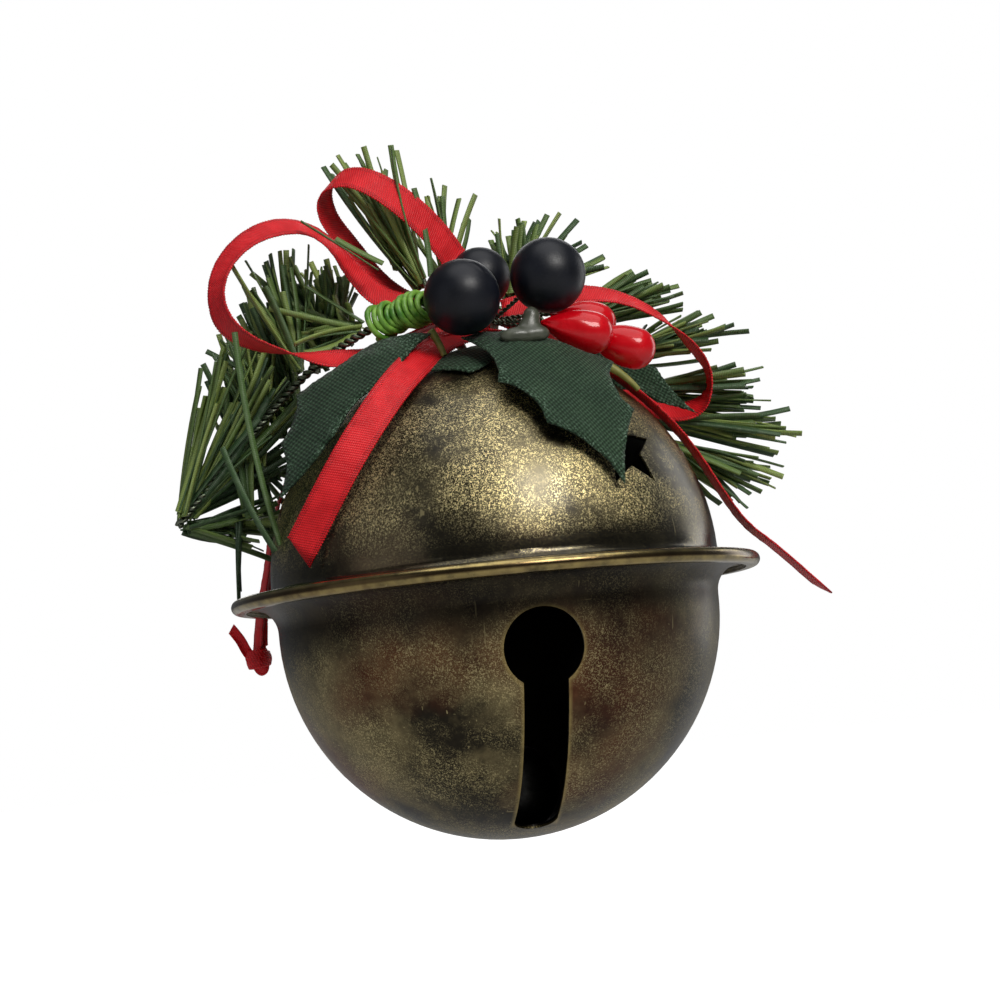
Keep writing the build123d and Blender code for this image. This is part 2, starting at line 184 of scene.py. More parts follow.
def make_mottled(name, first, second, scale, rough, strength, depth, detail=(4.0, 0.6), grain=None, **values):
    """A finish that drifts between two colours. Its bump is the same cloud, or a grain."""
    finish, tree, shader, where = open_finish(name)
    cloud = noise(tree, where, scale, *detail)
    height = noise(tree, where, grain) if grain else cloud
    colour = drifting(tree, cloud, first, second)
    dress(tree, shader, colour, spread(tree, cloud, 0.3, 0.7, *rough), height, strength, depth, **values)
    return finish


FLOAT, COLOUR, VECTOR = "NodeSocketFloat", "NodeSocketColor", "NodeSocketVector"
print("graph helpers ready")

# %% [markdown]
# ## Woven cloth
# Satin ribbon and holly cloth are both woven: threads run two ways, and each
# one rises over the next. A picture of cloth would need an image file. Two
# crossed sine waves at the thread pitch do the same job, so the group gives a
# height for the bump and a mask for the dark gaps between threads.

# %% Shared weave group
weave_group, weave_in, weave_out = open_group(
    "woven_threads",
    "ShaderNodeTree",
    [
        ("Across", FLOAT, 0.0), ("Along", FLOAT, 0.0),
        ("Warp Pitch", FLOAT, 0.0005), ("Weft Pitch", FLOAT, 0.0005),
    ],
    [("Height", FLOAT), ("Gaps", FLOAT)],
)


def thread_wave(where, pitch):
    turn = maths(weave_group, "DIVIDE", where, pitch)
    wave = maths(weave_group, "SINE", times(weave_group, turn, 2 * math.pi))
    return spread(weave_group, wave, -1.0, 1.0)


warp = thread_wave(out(weave_in, "Across"), out(weave_in, "Warp Pitch"))
weft = thread_wave(out(weave_in, "Along"), out(weave_in, "Weft Pitch"))
crossing = times(weave_group, warp, weft)
over = maths(weave_group, "MAXIMUM", warp, weft)
height = plus(weave_group, times(weave_group, crossing, 0.6), times(weave_group, over, 0.4))
weave_group.links.new(height, weave_out.inputs["Height"])
weave_group.links.new(spread(weave_group, height, 0.1, 0.55, 1.0, 0.0), weave_out.inputs["Gaps"])


def weave(tree, across, along, warp_pitch, weft_pitch):
    """Place the weave group in a finish, and return its height and its gaps."""
    threads = add(tree, "ShaderNodeGroup", {"node_tree": weave_group}, {
        "Across": across, "Along": along, "Warp Pitch": warp_pitch, "Weft Pitch": weft_pitch,
    })
    return out(threads, "Height"), out(threads, "Gaps")


def uv_axes(tree, uv_name):
    """The two distances of a piece's own UV map, in metres."""
    uv = add(tree, "ShaderNodeUVMap", {"uv_map": uv_name})
    parts = add(tree, "ShaderNodeSeparateXYZ", None, {0: out(uv)})
    return out(parts, 0), out(parts, 1)


print("weave group has", len(weave_group.nodes), "nodes")

# %% [markdown]
# ## Red satin
# The ribbon is narrow woven satin. Its face is smooth, with fine ribs straight
# across, and it has a knotted selvedge down each side. The pattern follows the
# ribbon's own UV map: U is the distance across and V the distance along, both
# in metres, so the threads keep their size on every loop.

# %% Satin finish
def make_satin():
    finish, tree, shader, where = open_finish("red_satin")
    across, along = uv_axes(tree, "ribbon")
    skewed = plus(tree, along, times(tree, across, 0.35))
    height, gaps = weave(tree, across, skewed, 0.00034, 0.00046)
    cloud = noise(tree, where, 260.0, 3.0)
    border = spread(tree, maths(tree, "ABSOLUTE", across), 0.00195, 0.0021)
    body = drifting(tree, cloud, (0.68, 0.005, 0.011, 1), (0.88, 0.014, 0.022, 1))
    ribbed = mix_colours(tree, times(tree, gaps, 0.50), body, (0.20, 0.002, 0.005, 1))
    dots = times(tree, times(tree, border, gaps), 0.75)
    colour = mix_colours(tree, dots, ribbed, (0.12, 0.001, 0.004, 1))
    rough = spread(tree, height, 0.0, 1.0, 0.55, 0.36)
    dress(
        tree, shader, colour, rough, height, 0.8, 0.00012,
        Sheen_Weight=0.04, Sheen_Roughness=0.35, Sheen_Tint=(1.0, 0.55, 0.55, 1), Specular_IOR_Level=0.35,
    )
    return finish


RED_SATIN = make_satin()
print("finish", RED_SATIN.name)

# %% [markdown]
# ## Ribbon lines
# Each ribbon is one length of 6 mm satin, so its middle line is drawn first.
# A NURBS curve pulled by a few points gives the easy bends of real ribbon,
# where straight runs and arcs would look like bent wire. The same points are
# the middle lines of the measured ribbons.

# %% Ribbon points, in millimetres
RIBBON_ROUTES = {
    "bow_loop_upper": [
        (2.6, 1.8, 6.4), (-0.2, 3.3, 12.0), (-4.3, 0.7, 17.9), (-9.9, -1.4, 23.6), (-16.2, -1.3, 28.7),
        (-21.2, 2.0, 31.4), (-24.8, 6.6, 30.4), (-25.0, 9.2, 25.6), (-20.8, 9.6, 19.4), (-16.1, 8.9, 11.8),
        (-11.1, 6.9, 7.2), (-5.8, 4.9, 4.6),
    ],
    "bow_loop_left": [
        (-4.2, 2.6, 2.6), (-10.4, 1.8, 4.9), (-17.0, 1.1, 6.6), (-21.4, 1.7, 12.3), (-24.7, 1.2, 17.4),
        (-29.0, 0.8, 21.0), (-35.0, 0.4, 21.8), (-41.4, -0.8, 19.4), (-46.4, -2.0, 14.4),
        (-48.4, -3.0, 8.4), (-47.4, -4.1, 2.6), (-42.6, -5.0, -1.6), (-36.0, -6.0, -3.9),
        (-27.5, -7.5, -6.2), (-19.9, -7.6, -5.4), (-12.1, -7.3, -3.5), (-5.2, -5.6, -1.4),
    ],
    "bow_loop_right": [
        (6.6, 0.8, 2.8), (14.5, -1.5, 4.2), (22.0, -3.8, 4.4), (29.5, -3.8, 3.2), (37.0, -3.4, -1.0),
        (42.8, -1.8, -6.6), (46.8, 0.2, -12.6), (45.6, 2.6, -18.0), (40.0, 4.4, -19.4), (33.4, 5.2, -16.8),
        (27.0, 5.2, -11.6), (19.6, 4.8, -5.4), (12.4, 3.8, -0.9), (6.0, 2.0, 1.8),
    ],
    "bow_tail_left": [
        (-1.6, -6.4, -2.4), (-5.3, -8.6, -3.6), (-9.6, -12.4, -5.8), (-14.2, -19.4, -9.6),
        (-19.0, -24.6, -14.2), (-24.0, -27.4, -20.2), (-29.2, -28.4, -27.2), (-34.0, -26.8, -34.8),
        (-38.6, -23.0, -42.6),
    ],
    "bow_tail_right": [
        (2.2, -6.4, -3.0), (8.6, -10.0, -4.6), (15.3, -11.7, -7.3), (22.3, -12.9, -11.8),
        (28.6, -12.9, -17.4), (34.4, -12.5, -23.4), (39.0, -12.1, -30.2), (42.6, -12.1, -37.2),
        (46.8, -11.3, -43.6), (52.6, -10.9, -48.2), (60.6, -10.4, -56.4),
    ],
    "hanger_strand_left": [
        (-2.6, 2.4, 1.6), (-9.0, 9.6, 1.2), (-17.6, 15.8, -3.2), (-26.2, 21.6, -10.6), (-33.8, 25.6, -20.0),
        (-38.8, 28.0, -31.4), (-40.8, 30.2, -42.0), (-42.8, 31.6, -49.6), (-43.8, 30.4, -56.6),
    ],
    "hanger_strand_right": [
        (0.4, 3.6, 1.4), (-5.4, 12.2, 0.6), (-13.4, 19.4, -3.8), (-22.2, 25.2, -11.2), (-31.0, 28.8, -20.6),
        (-37.0, 30.6, -31.8), (-39.8, 32.4, -42.2), (-42.0, 33.8, -49.6), (-42.6, 32.0, -56.8),
    ],
}

# %% [markdown]
# ## Which way each ribbon faces
# A ribbon is flat, so a line isn't enough: at each point it also needs the
# direction of its near edge. They are chosen point by point, so that a loop
# shows its face where it does on the real bow and turns edge on where that
# does. The directions are drawn into a smooth twist in the next cell.

# %% Near-edge direction at each ribbon point
RIBBON_EDGES = {
    "bow_loop_upper": [
        (-0.67, -0.22, -0.71), (-0.67, -0.21, -0.71), (-0.66, -0.21, -0.72), (-0.65, -0.21, -0.73),
        (-0.55, -0.31, -0.78), (-0.24, -0.61, -0.75), (-0.48, -0.74, -0.48), (-0.68, -0.65, -0.33),
        (-0.64, -0.61, -0.47), (-0.64, -0.62, -0.46), (-0.63, -0.63, -0.45), (-0.63, -0.63, -0.45),
    ],
    "bow_loop_left": [
        (-0.26, -0.64, -0.72), (-0.43, -0.56, -0.70), (-0.57, -0.53, -0.63), (-0.60, -0.65, -0.46),
        (-0.33, -0.86, -0.39), (-0.27, -0.83, -0.49), (-0.04, -0.69, -0.72), (0.18, -0.74, -0.64),
        (0.40, -0.82, -0.42), (0.43, -0.88, -0.21), (0.49, -0.85, 0.21), (0.13, -0.97, 0.20),
        (-0.05, -0.99, -0.10), (-0.17, -0.65, -0.74), (-0.13, -0.88, -0.46), (-0.15, -0.88, -0.44),
        (-0.16, -0.88, -0.45),
    ],
    "bow_loop_right": [
        (-0.17, -0.55, -0.82), (-0.18, -0.54, -0.82), (-0.21, -0.69, -0.70), (-0.34, -0.82, -0.47),
        (-0.35, -0.88, -0.33), (0.02, -1.00, 0.01), (-0.11, -0.98, -0.16), (-0.16, -0.73, -0.66),
        (-0.25, -0.68, -0.69), (-0.24, -0.69, -0.68), (-0.22, -0.70, -0.67), (-0.21, -0.71, -0.67),
        (-0.20, -0.73, -0.66), (-0.18, -0.74, -0.65),
    ],
    "bow_tail_left": [
        (-0.07, -0.82, -0.56), (-0.02, -0.81, -0.58), (0.32, -0.72, -0.62), (0.59, -0.42, -0.69),
        (0.76, -0.20, -0.62), (0.77, -0.21, -0.61), (0.77, -0.21, -0.60), (0.77, -0.21, -0.60),
        (0.78, -0.22, -0.59),
    ],
    "bow_tail_right": [
        (-0.04, -0.99, 0.12), (-0.05, -1.00, 0.07), (-0.06, -1.00, 0.03), (-0.07, -1.00, -0.01),
        (-0.09, -1.00, -0.00), (-0.10, -0.99, 0.01), (-0.12, -0.99, 0.02), (-0.13, -0.99, 0.03),
        (-0.14, -0.99, 0.04), (-0.16, -0.99, 0.05), (-0.18, -0.98, 0.07),
    ],
    "hanger_strand_left": [
        (-0.75, -0.66, -0.01), (-0.67, -0.74, 0.02), (-0.58, -0.81, 0.06), (-0.40, -0.91, 0.05),
        (-0.09, -1.00, -0.03), (0.07, -1.00, -0.06), (0.10, -1.00, -0.03), (0.18, -0.98, -0.02),
        (0.20, -0.98, 0.00),
    ],
    "hanger_strand_right": [
        (-0.83, -0.56, 0.05), (-0.76, -0.64, 0.08), (-0.66, -0.74, 0.13), (-0.46, -0.88, 0.12),
        (-0.11, -0.99, -0.01), (0.06, -1.00, -0.06), (0.10, -1.00, -0.03), (0.18, -0.98, -0.02),
        (0.20, -0.98, 0.00),
    ],
}
print(sum(len(ways) for ways in RIBBON_EDGES.values()), "directions for", len(RIBBON_EDGES), "ribbons")


# %% Read smooth points from a NURBS spline
def baked(holder):
    """What an object's modifiers make of it, as a plain mesh. The object goes."""
    evaluated = holder.evaluated_get(bpy.context.evaluated_depsgraph_get())
    mesh = bpy.data.meshes.new_from_object(evaluated)
    holder.modifiers.clear()
    bpy.data.objects.remove(holder)
    return mesh


def nurbs_line(points, detail=12):
    """Close points along a NURBS spline pulled by the given ones."""
    curve = bpy.data.curves.new("line", "CURVE")
    curve.dimensions = "3D"
    curve.resolution_u = detail
    spline = curve.splines.new("NURBS")
    spline.points.add(len(points) - 1)
    for spot, point in zip(spline.points, points):
        spot.co = (*point, 1.0)
    spline.order_u = 3
    spline.use_endpoint_u = True
    mesh = baked(hold("line", curve))
    line = [v.co.copy() for v in mesh.vertices]
    bpy.data.meshes.remove(mesh)
    bpy.data.curves.remove(curve)
    return line


def line_length(line):
    return sum((b - a).length for a, b in zip(line, line[1:]))


def tangents(line):
    """Unit directions along a line of points."""
    last = len(line) - 1
    return [(line[min(i + 1, last)] - line[max(i - 1, 0)]).normalized() for i in range(last + 1)]


def line_of(points, detail=12):
    """A smooth line, in metres, through the pull of points in millimetres."""
    return nurbs_line([Vector(p) * MM for p in points], detail)


print("a test line of", len(line_of(RIBBON_ROUTES["bow_tail_left"])), "points")

# %% [markdown]
# ## Weaving the ribbons
# A ribbon is swept along its line by hand, because its flat side has to turn
# as planned. The section is a closed thin strip: a slightly cupped satin body
# with a thicker woven border on each side. The ends are cut on a slant.

# %% Sweep a flat ribbon along a line
RIBBON_WIDTH = 0.006
RIBBON_CUP = 0.00018
# Share of the half width, and half the thickness there in millimetres.
RIBBON_SECTION = [
    (-1.0, 0.05), (-0.95, 0.17), (-0.74, 0.18), (-0.68, 0.11), (-0.35, 0.11), (0.0, 0.12), (0.35, 0.11),
    (0.68, 0.11), (0.74, 0.18), (0.95, 0.17), (1.0, 0.05),
]


def closed_mesh(name, build, outwards=True):
    """A mesh of what was built, with its faces turned outwards."""
    if outwards:
        bmesh.ops.recalc_face_normals(build, faces=build.faces)
    mesh = bpy.data.meshes.new(name)
    build.to_mesh(mesh)
    build.free()
    return mesh


def square_to(along, side):
    """The part of a direction that is square to a line."""
    return (side - along * side.dot(along)).normalized()


def ripple_at(run):
    """The slight wave of handled satin, at a distance along it."""
    return 0.00006 * math.sin(run * 2600) * math.sin(run * 740 + 1.3)


def sweep_ribbon(name, line, sides, width=RIBBON_WIDTH, cup=RIBBON_CUP, slant=0.0):
    """A closed mesh of a flat ribbon, with its UV map in metres."""
    build = bmesh.new()
    uv_layer = build.loops.layers.uv.new("ribbon")
    ring_uv = []
    rings = []
    run = 0.0
    directions = tangents(line)
    last = len(line) - 1
    for index, (spot, along, side) in enumerate(zip(line, directions, sides)):
        run += (spot - line[max(index - 1, 0)]).length
        across = square_to(along, side)
        face = along.cross(across)
        end_share = (index == last) - (index == 0)
        ring, uvs = [], []
        for top in (1, -1):
            section = RIBBON_SECTION if top == 1 else RIBBON_SECTION[-2:0:-1]
            for share, half in section:
                reach = share * width / 2
                height = cup * (1 - share * share) + ripple_at(run) + top * half * MM
                shift = end_share * slant * reach
                ring.append(build.verts.new(spot + across * reach + face * height + along * shift))
                uvs.append((reach, run + shift))
        rings.append(ring)
        ring_uv.append(uvs)
    count = len(rings[0])
    for a in range(last):
        b = a + 1
        for k in range(count):
            n = (k + 1) % count
            quad = build.faces.new((rings[a][k], rings[b][k], rings[b][n], rings[a][n]))
            quad.smooth = True
            for loop, uv in zip(quad.loops, (ring_uv[a][k], ring_uv[b][k], ring_uv[b][n], ring_uv[a][n])):
                loop[uv_layer].uv = uv
    for ring, flip in ((rings[0], False), (rings[-1], True)):
        for k in range(len(RIBBON_SECTION) - 1):
            corners = [ring[k], ring[k + 1], ring[(count - k - 1) % count], ring[(count - k) % count]]
            corners = list(dict.fromkeys(corners))
            build.faces.new(corners[::-1] if flip else corners)
    return closed_mesh(name, build)


def show(name, mesh, finish):
    """Put a finished mesh in the scene, at the origin."""
    mesh.materials.clear()
    mesh.materials.append(finish)
    return hold(name, mesh)


def place_piece(name, mesh, finish, slot_name, *node_names):
    """Show a piece that is fixed to the bell, in place of the measured parts named."""
    piece = show(name, mesh, finish)
    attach(piece, "ornament")
    if node_names:
        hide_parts(*node_names)
    return piece


print("section of", 2 * len(RIBBON_SECTION) - 2, "points, thickest", 2 * 0.18, "mm")

# %% [markdown]
# ## Stitches along a line, with Geometry Nodes
# The borders of the ribbon are rows of small knots. Hundreds of equal knots at
# an equal pitch are what Geometry Nodes are for: the tree turns a line into a
# curve, spaces points along it, puts a bead on each, and makes the beads real.
# A bead has only a few faces, because there are thousands of them.

# %% Geometry Nodes: a row of knots
def set_of(tree, geometry, finish_socket):
    """End a tree: real instances, smooth faces, one finish."""
    real = add(tree, "GeometryNodeRealizeInstances", None, {0: geometry})
    smooth = add(tree, "GeometryNodeSetShadeSmooth", None, {0: out(real)})
    sockets = {"Geometry": out(smooth), "Material": finish_socket}
    return out(add(tree, "GeometryNodeSetMaterial", None, sockets))


knots_group, knots_in, knots_out = open_group(
    "knots_along_lines",
    "GeometryNodeTree",
    [
        ("Geometry", "NodeSocketGeometry", None), ("Pitch", FLOAT, 0.0005), ("Knot Radius", FLOAT, 0.00017),
        ("Knot Shape", VECTOR, (1.0, 1.0, 1.0)), ("Finish", "NodeSocketMaterial", None),
    ],
    [("Geometry", "NodeSocketGeometry")],
)
knot_lines = add(knots_group, "GeometryNodeMeshToCurve", None, {0: out(knots_in, "Geometry")})
spaced = add(knots_group, "GeometryNodeResampleCurve", {"mode": "LENGTH"}, {
    "Curve": out(knot_lines), "Length": out(knots_in, "Pitch"),
})
bead = add(knots_group, "GeometryNodeMeshIcoSphere", None, {
    "Radius": out(knots_in, "Knot Radius"), "Subdivisions": 1,
})
knot_tangent = out(add(knots_group, "GeometryNodeInputTangent"))
heading = add(knots_group, "FunctionNodeAlignRotationToVector", {"axis": "X"}, {"Vector": knot_tangent})
beads = add(knots_group, "GeometryNodeInstanceOnPoints", None, {
    "Points": out(spaced), "Instance": out(bead), "Rotation": out(heading),
    "Scale": out(knots_in, "Knot Shape"),
})
knots_group.links.new(set_of(knots_group, out(beads), out(knots_in, "Finish")), knots_out.inputs[0])


# %% Run a tree and keep its result as a plain mesh
def line_mesh(name, lines, values=None):
    """A mesh of loose edges, one chain for each line, with values at its points."""
    spots = [p for line in lines for p in line]
    edges = []
    start = 0
    for line in lines:
        edges += [(start + i, start + i + 1) for i in range(len(line) - 1)]
        start += len(line)
    mesh = bpy.data.meshes.new(name)
    mesh.from_pydata(spots, edges, [])
    for title, numbers in (values or {}).items():
        mesh.attributes.new(title, "FLOAT", "POINT").data.foreach_set("value", numbers)
    return mesh


def grow(name, mesh, group, settings):
    """Run a Geometry Nodes group on a mesh and return what it makes as a mesh."""
    holder = hold(name, mesh)
    modifier = holder.modifiers.new("grow", "NODES")
    modifier.node_group = group
    sockets = {s.name: s.identifier for s in group.interface.items_tree if s.in_out == "INPUT"}
    for title, value in settings.items():
        modifier[sockets[title]] = value
    return baked(holder)


def merged(name, *meshes):
    """One mesh of several."""
    build = bmesh.new()
    for mesh in meshes:
        build.from_mesh(mesh)
    return closed_mesh(name, build, outwards=False)


print("knot group has", len(knots_group.nodes), "nodes")

# %% [markdown]
# ## The seven ribbons
# Three loops of the bow, its two tails and the two strands of the hanger are
# cut from the same satin. Each piece is swept and edged with knots.

KNOT_ROWS = (-0.97, -0.71, 0.71, 0.97)


def make_ribbon(name, line, sides, slant):
    """A swept ribbon with its rows of knots, as one mesh."""
    body = sweep_ribbon(name, line, sides, slant=slant)
    rows = []
    for share in KNOT_ROWS:
        row = []
        for spot, along, side in zip(line, tangents(line), sides):
            across = square_to(along, side)
            cupped = along.cross(across) * RIBBON_CUP * (1 - share**2)
            row.append(spot + across * share * RIBBON_WIDTH / 2 + cupped)
        rows.append(row[1:-1])
    knots = grow(name + "_knots", line_mesh(name + "_rows", rows), knots_group, {
        "Pitch": 0.00056, "Knot Radius": 0.00023, "Knot Shape": (0.75, 1.0, 0.9), "Finish": RED_SATIN,
    })
    return merged(name, body, knots)


RIBBONS = {}
RIBBON_LINES = {}
for name, route in RIBBON_ROUTES.items():
    line = line_of(route)
    toward = line_of([Vector(p) + Vector(edge) for p, edge in zip(route, RIBBON_EDGES[name])])
    sides = [(b - a).normalized() for a, b in zip(line, toward)]
    ribbon = make_ribbon(name, line, sides, 0.5 if name.startswith("bow_tail") else 0.0)
    piece = place_piece(name + "_ribbon", ribbon, RED_SATIN, "red_satin", name)
    RIBBONS[name] = piece
    RIBBON_LINES[name] = line
    print(name, round(line_length(line) * 1000, 1), "mm,", len(piece.data.polygons), "faces")

# %% [markdown]
# ## Tied middle and hanger knot
# The bow is held by a short wrap of the same ribbon round its middle. The
# hanger is closed by an overhand knot: its line crosses over itself like a
# clover leaf, with the cut end standing out. The two strands are gathered into
# it, under a short wrap. A crushed ribbon is narrower than a flat one, so all
# of these use a narrow strip.

# %% Wrap the bow's middle
BOW_KNOT = Vector((-0.0005, -0.0044, -0.0012))


def ring_line(centre, axis, first, second, turns, drift, steps=36):
    """Points of an oval wrap about an axis, drifting along it."""
    side = axis.orthogonal().normalized()
    other = axis.cross(side)
    line = []
    for step in range(int(turns * steps) + 1):
        angle = 2 * math.pi * step / steps
        slide = drift * (step / (turns * steps) - 0.5)
        line.append(centre + side * first * math.cos(angle) + other * second * math.sin(angle) + axis * slide)
    return line


def wrapped(name, centre, axis, first, second, turns, drift, width, cup):
    """A ribbon wound round an axis, lying flat against what it holds."""
    line = ring_line(centre, axis, first, second, turns, drift)
    return sweep_ribbon(name, line, [axis] * len(line), width=width, cup=cup)


wrap_axis = Vector((1.0, -0.15, 0.12)).normalized()
wrap = wrapped("bow_knot", BOW_KNOT, wrap_axis, 0.0021, 0.0019, 2.2, 0.0034, 0.0046, 0.0003)
crossing_axis = Vector((0.25, 0.1, 1.0)).normalized()
second = wrapped("bow_knot_under", BOW_KNOT, crossing_axis, 0.0028, 0.0021, 1.1, 0.0008, 0.0030, 0.0003)
bow_wraps = merged("bow_knot_wrap", wrap, second)
bow_knot = place_piece("bow_knot_wrap", bow_wraps, RED_SATIN, "red_satin", "bow_knot")
print("bow knot", len(bow_knot.data.polygons), "faces")

# %% Tie the hanger's knot
HANGER_KNOT = Vector((-0.0437, 0.0306, -0.0594))
KNOT_SIZE, KNOT_DEPTH = 0.00068, 0.00080
KNOT_ENTRY = [(-0.0434, 0.0308, -0.0570)]
KNOT_CUT_END = [(-0.0462, 0.0300, -0.0570), (-0.0472, 0.0296, -0.0545), (-0.0488, 0.0292, -0.0524)]
GATHER_SIDE = Vector((0.2, -0.98, 0.0)).normalized()
clover = []
for step in range(0, 97, 6):
    t = 2 * math.pi * step / 96 * 0.94 + 0.2
    clover.append(HANGER_KNOT + Vector((
        KNOT_SIZE * (math.sin(t) + 2 * math.sin(2 * t)),
        KNOT_DEPTH * math.sin(3 * t),
        KNOT_SIZE * (math.cos(t) - 2 * math.cos(2 * t)),
    )))
knot_line = nurbs_line(KNOT_ENTRY + clover + KNOT_CUT_END, 6)
knot_sides = []
knot_side = Vector((0.0, 1.0, 0.3))
for along in tangents(knot_line):
    knot_side = square_to(along, knot_side)
    knot_sides.append(knot_side)
knot_mesh = sweep_ribbon("hanger_knot", knot_line, knot_sides, width=0.0021, cup=0.0006, slant=0.4)
gathers = []
for strand in ("hanger_strand_left", "hanger_strand_right"):
    above, below = RIBBON_LINES[strand][-5], RIBBON_LINES[strand][-1]
    gather_line = nurbs_line([above, below, below * 0.45 + HANGER_KNOT * 0.55, HANGER_KNOT], 6)
    gather_sides = [GATHER_SIDE] * len(gather_line)
    gathers.append(sweep_ribbon("hanger_gather", gather_line, gather_sides, width=0.0040, cup=0.0004))
round_way = (RIBBON_LINES["hanger_strand_left"][-1] - HANGER_KNOT).normalized()
round_middle = HANGER_KNOT + round_way * 0.0006
gathers.append(wrapped("hanger_round", round_middle, round_way, 0.0022, 0.0018, 1.8, 0.0014, 0.0030, 0.0005))
tied = merged("hanger_knot_tied", knot_mesh, *gathers)
hanger_knot = place_piece("hanger_knot_tied", tied, RED_SATIN, "red_satin", "hanger_knot")
print("hanger knot", len(hanger_knot.data.polygons), "faces")

# %% Look up each ribbon's line
for name, piece in RIBBONS.items():
    line = RIBBON_LINES[name]
print("declared", len(RIBBONS), "ribbons")

# %% [markdown]
# ## Antique brass
# The shells are stamped brass, darkened with a brown-black patina, rubbed back
# in places and lacquered. Up close the rubbing shows as gold flecks in clouds,
# fine scratches and a few reddish stains. Noise at several sizes gives all of
# that, so one group makes the colour, the roughness and a slight unevenness,
# and each shell sets how dark, flecked and stained it is.

# %% Shared patina group
patina_group, patina_in, patina_out = open_group(
    "rubbed_patina",
    "ShaderNodeTree",
    [
        ("Place", VECTOR, None),
        ("Dark", COLOUR, (0.03, 0.024, 0.014, 1)), ("Brown", COLOUR, (0.14, 0.11, 0.06, 1)),
        ("Fleck", COLOUR, (0.88, 0.74, 0.36, 1)), ("Flecks", FLOAT, 0.5), ("Stains", FLOAT, 0.3),
    ],
    [("Colour", COLOUR), ("Roughness", FLOAT), ("Height", FLOAT)],
)


def scratch_lines(tree, where, turn, stretch, scale, start):
    """Noise drawn out along one way, so that only thin lines pass the start value."""
    place = add(tree, "ShaderNodeMapping", None, {"Vector": where, "Rotation": turn, "Scale": stretch})
    return spread(tree, noise(tree, out(place), scale, 2.0, 0.4), start, start + 0.035)


def make_patina(tree, source, sink):
    where = out(source, "Place")
    clouds = noise(tree, where, 52.0, 5.0, 0.62)
    drift = noise(tree, where, 24.0, 3.0, 0.5)
    grain = noise(tree, where, 900.0, 4.0, 0.7)
    base = mix_colours(tree, spread(tree, clouds, 0.42, 0.62), out(source, "Dark"), out(source, "Brown"))
    stain = times(tree, spread(tree, drift, 0.50, 0.64), out(source, "Stains"))
    base = mix_colours(tree, stain, base, (0.130, 0.030, 0.012, 1))
    base = mix_colours(tree, spread(tree, grain, 0.35, 0.75, 0.0, 0.35), base, (0.0, 0.0, 0.0, 1))
    coarse = spread(tree, noise(tree, where, 2300.0, 4.0, 0.8), 0.52, 0.59)
    fine = spread(tree, noise(tree, where, 4600.0, 2.0, 0.7), 0.52, 0.60)
    rubbed = times(tree, spread(tree, noise(tree, where, 78.0, 4.0, 0.65), 0.36, 0.60), out(source, "Flecks"))
    flecks = times(tree, plus(tree, coarse, times(tree, fine, 0.7)), rubbed)
    lines = scratch_lines(tree, where, (0.4, 0.9, 0.3), (1.0, 1.0, 0.05), 1500.0, 0.715)
    more_lines = scratch_lines(tree, where, (1.5, 0.2, 1.1), (0.06, 1.0, 1.0), 1300.0, 0.725)
    scratches = times(tree, maths(tree, "MAXIMUM", lines, more_lines), 0.35)
    marks = maths(tree, "MINIMUM", maths(tree, "MAXIMUM", flecks, scratches), 1.0)
    colour = mix_colours(tree, marks, base, out(source, "Fleck"))
    rough = plus(tree, spread(tree, clouds, 0.3, 0.7, 0.34, 0.46), times(tree, marks, 0.03))
    rise = minus(tree, times(tree, grain, 0.5), times(tree, marks, 0.5))
    tree.links.new(colour, sink.inputs["Colour"])
    tree.links.new(rough, sink.inputs["Roughness"])
    tree.links.new(rise, sink.inputs["Height"])


make_patina(patina_group, patina_in, patina_out)
print("patina group has", len(patina_group.nodes), "nodes")

# %% [markdown]
# ## The two shells
# The measured shells are already right, with their star and keyhole openings
# and their rolled rim, so they only get a finish. Handling polishes what stands
# out: the roll of the rim, and the cut edges of the keyhole. Soot stays where
# nothing rubs: in the seam and inside. The bowl also gets painted shade in a
# band under the rim, which stands for soot there too, and painted shade towards
# its right side. All are places that can be worked out from the shell's own
# sizes.

# %% Finish for the dome and the bowl
RIM_START = 0.0462
KEYHOLE_TOP = -0.0637
KEYHOLE_ROUND = 0.00705
KEYHOLE_HALF_SLOT = 0.00395
SLOT_END = -0.0945
BOWL_CENTRE, BOWL_SKIN = -0.0561, 0.0411
DOME_MIDDLE, DOME_SKIN = -0.0477, 0.0418
FOOT_TOP, RIM_MIDDLE = -0.0425, -0.0499
WORN_BRASS = (0.42, 0.32, 0.12, 1)
# Near-black soot for the insides, and also the colour of the painted shade on the bowl. The two heights after
# it bound the band of painted shade under the rim.
SOOT_AND_SHADE = (0.012, 0.010, 0.008, 1)
RIM_SHADE_LOW, RIM_SHADE_HIGH = -0.0625, -0.0565
NECK_RADIUS = 0.0450
SEAM_BROWN = (0.060, 0.032, 0.010, 1)


def keyhole_distance(tree, x, z):
    """How far a point in the front view lies from the keyhole's edge."""
    rise = minus(tree, z, KEYHOLE_TOP)
    round_edge = minus(tree, long_side(tree, x, rise), KEYHOLE_ROUND)
    slot_side = minus(tree, maths(tree, "ABSOLUTE", x), KEYHOLE_HALF_SLOT)
    slot_ends = maths(tree, "MAXIMUM", rise, minus(tree, SLOT_END, z))
    slot_edge = maths(tree, "MAXIMUM", slot_side, slot_ends)
    return maths(tree, "ABSOLUTE", maths(tree, "MINIMUM", round_edge, slot_edge))


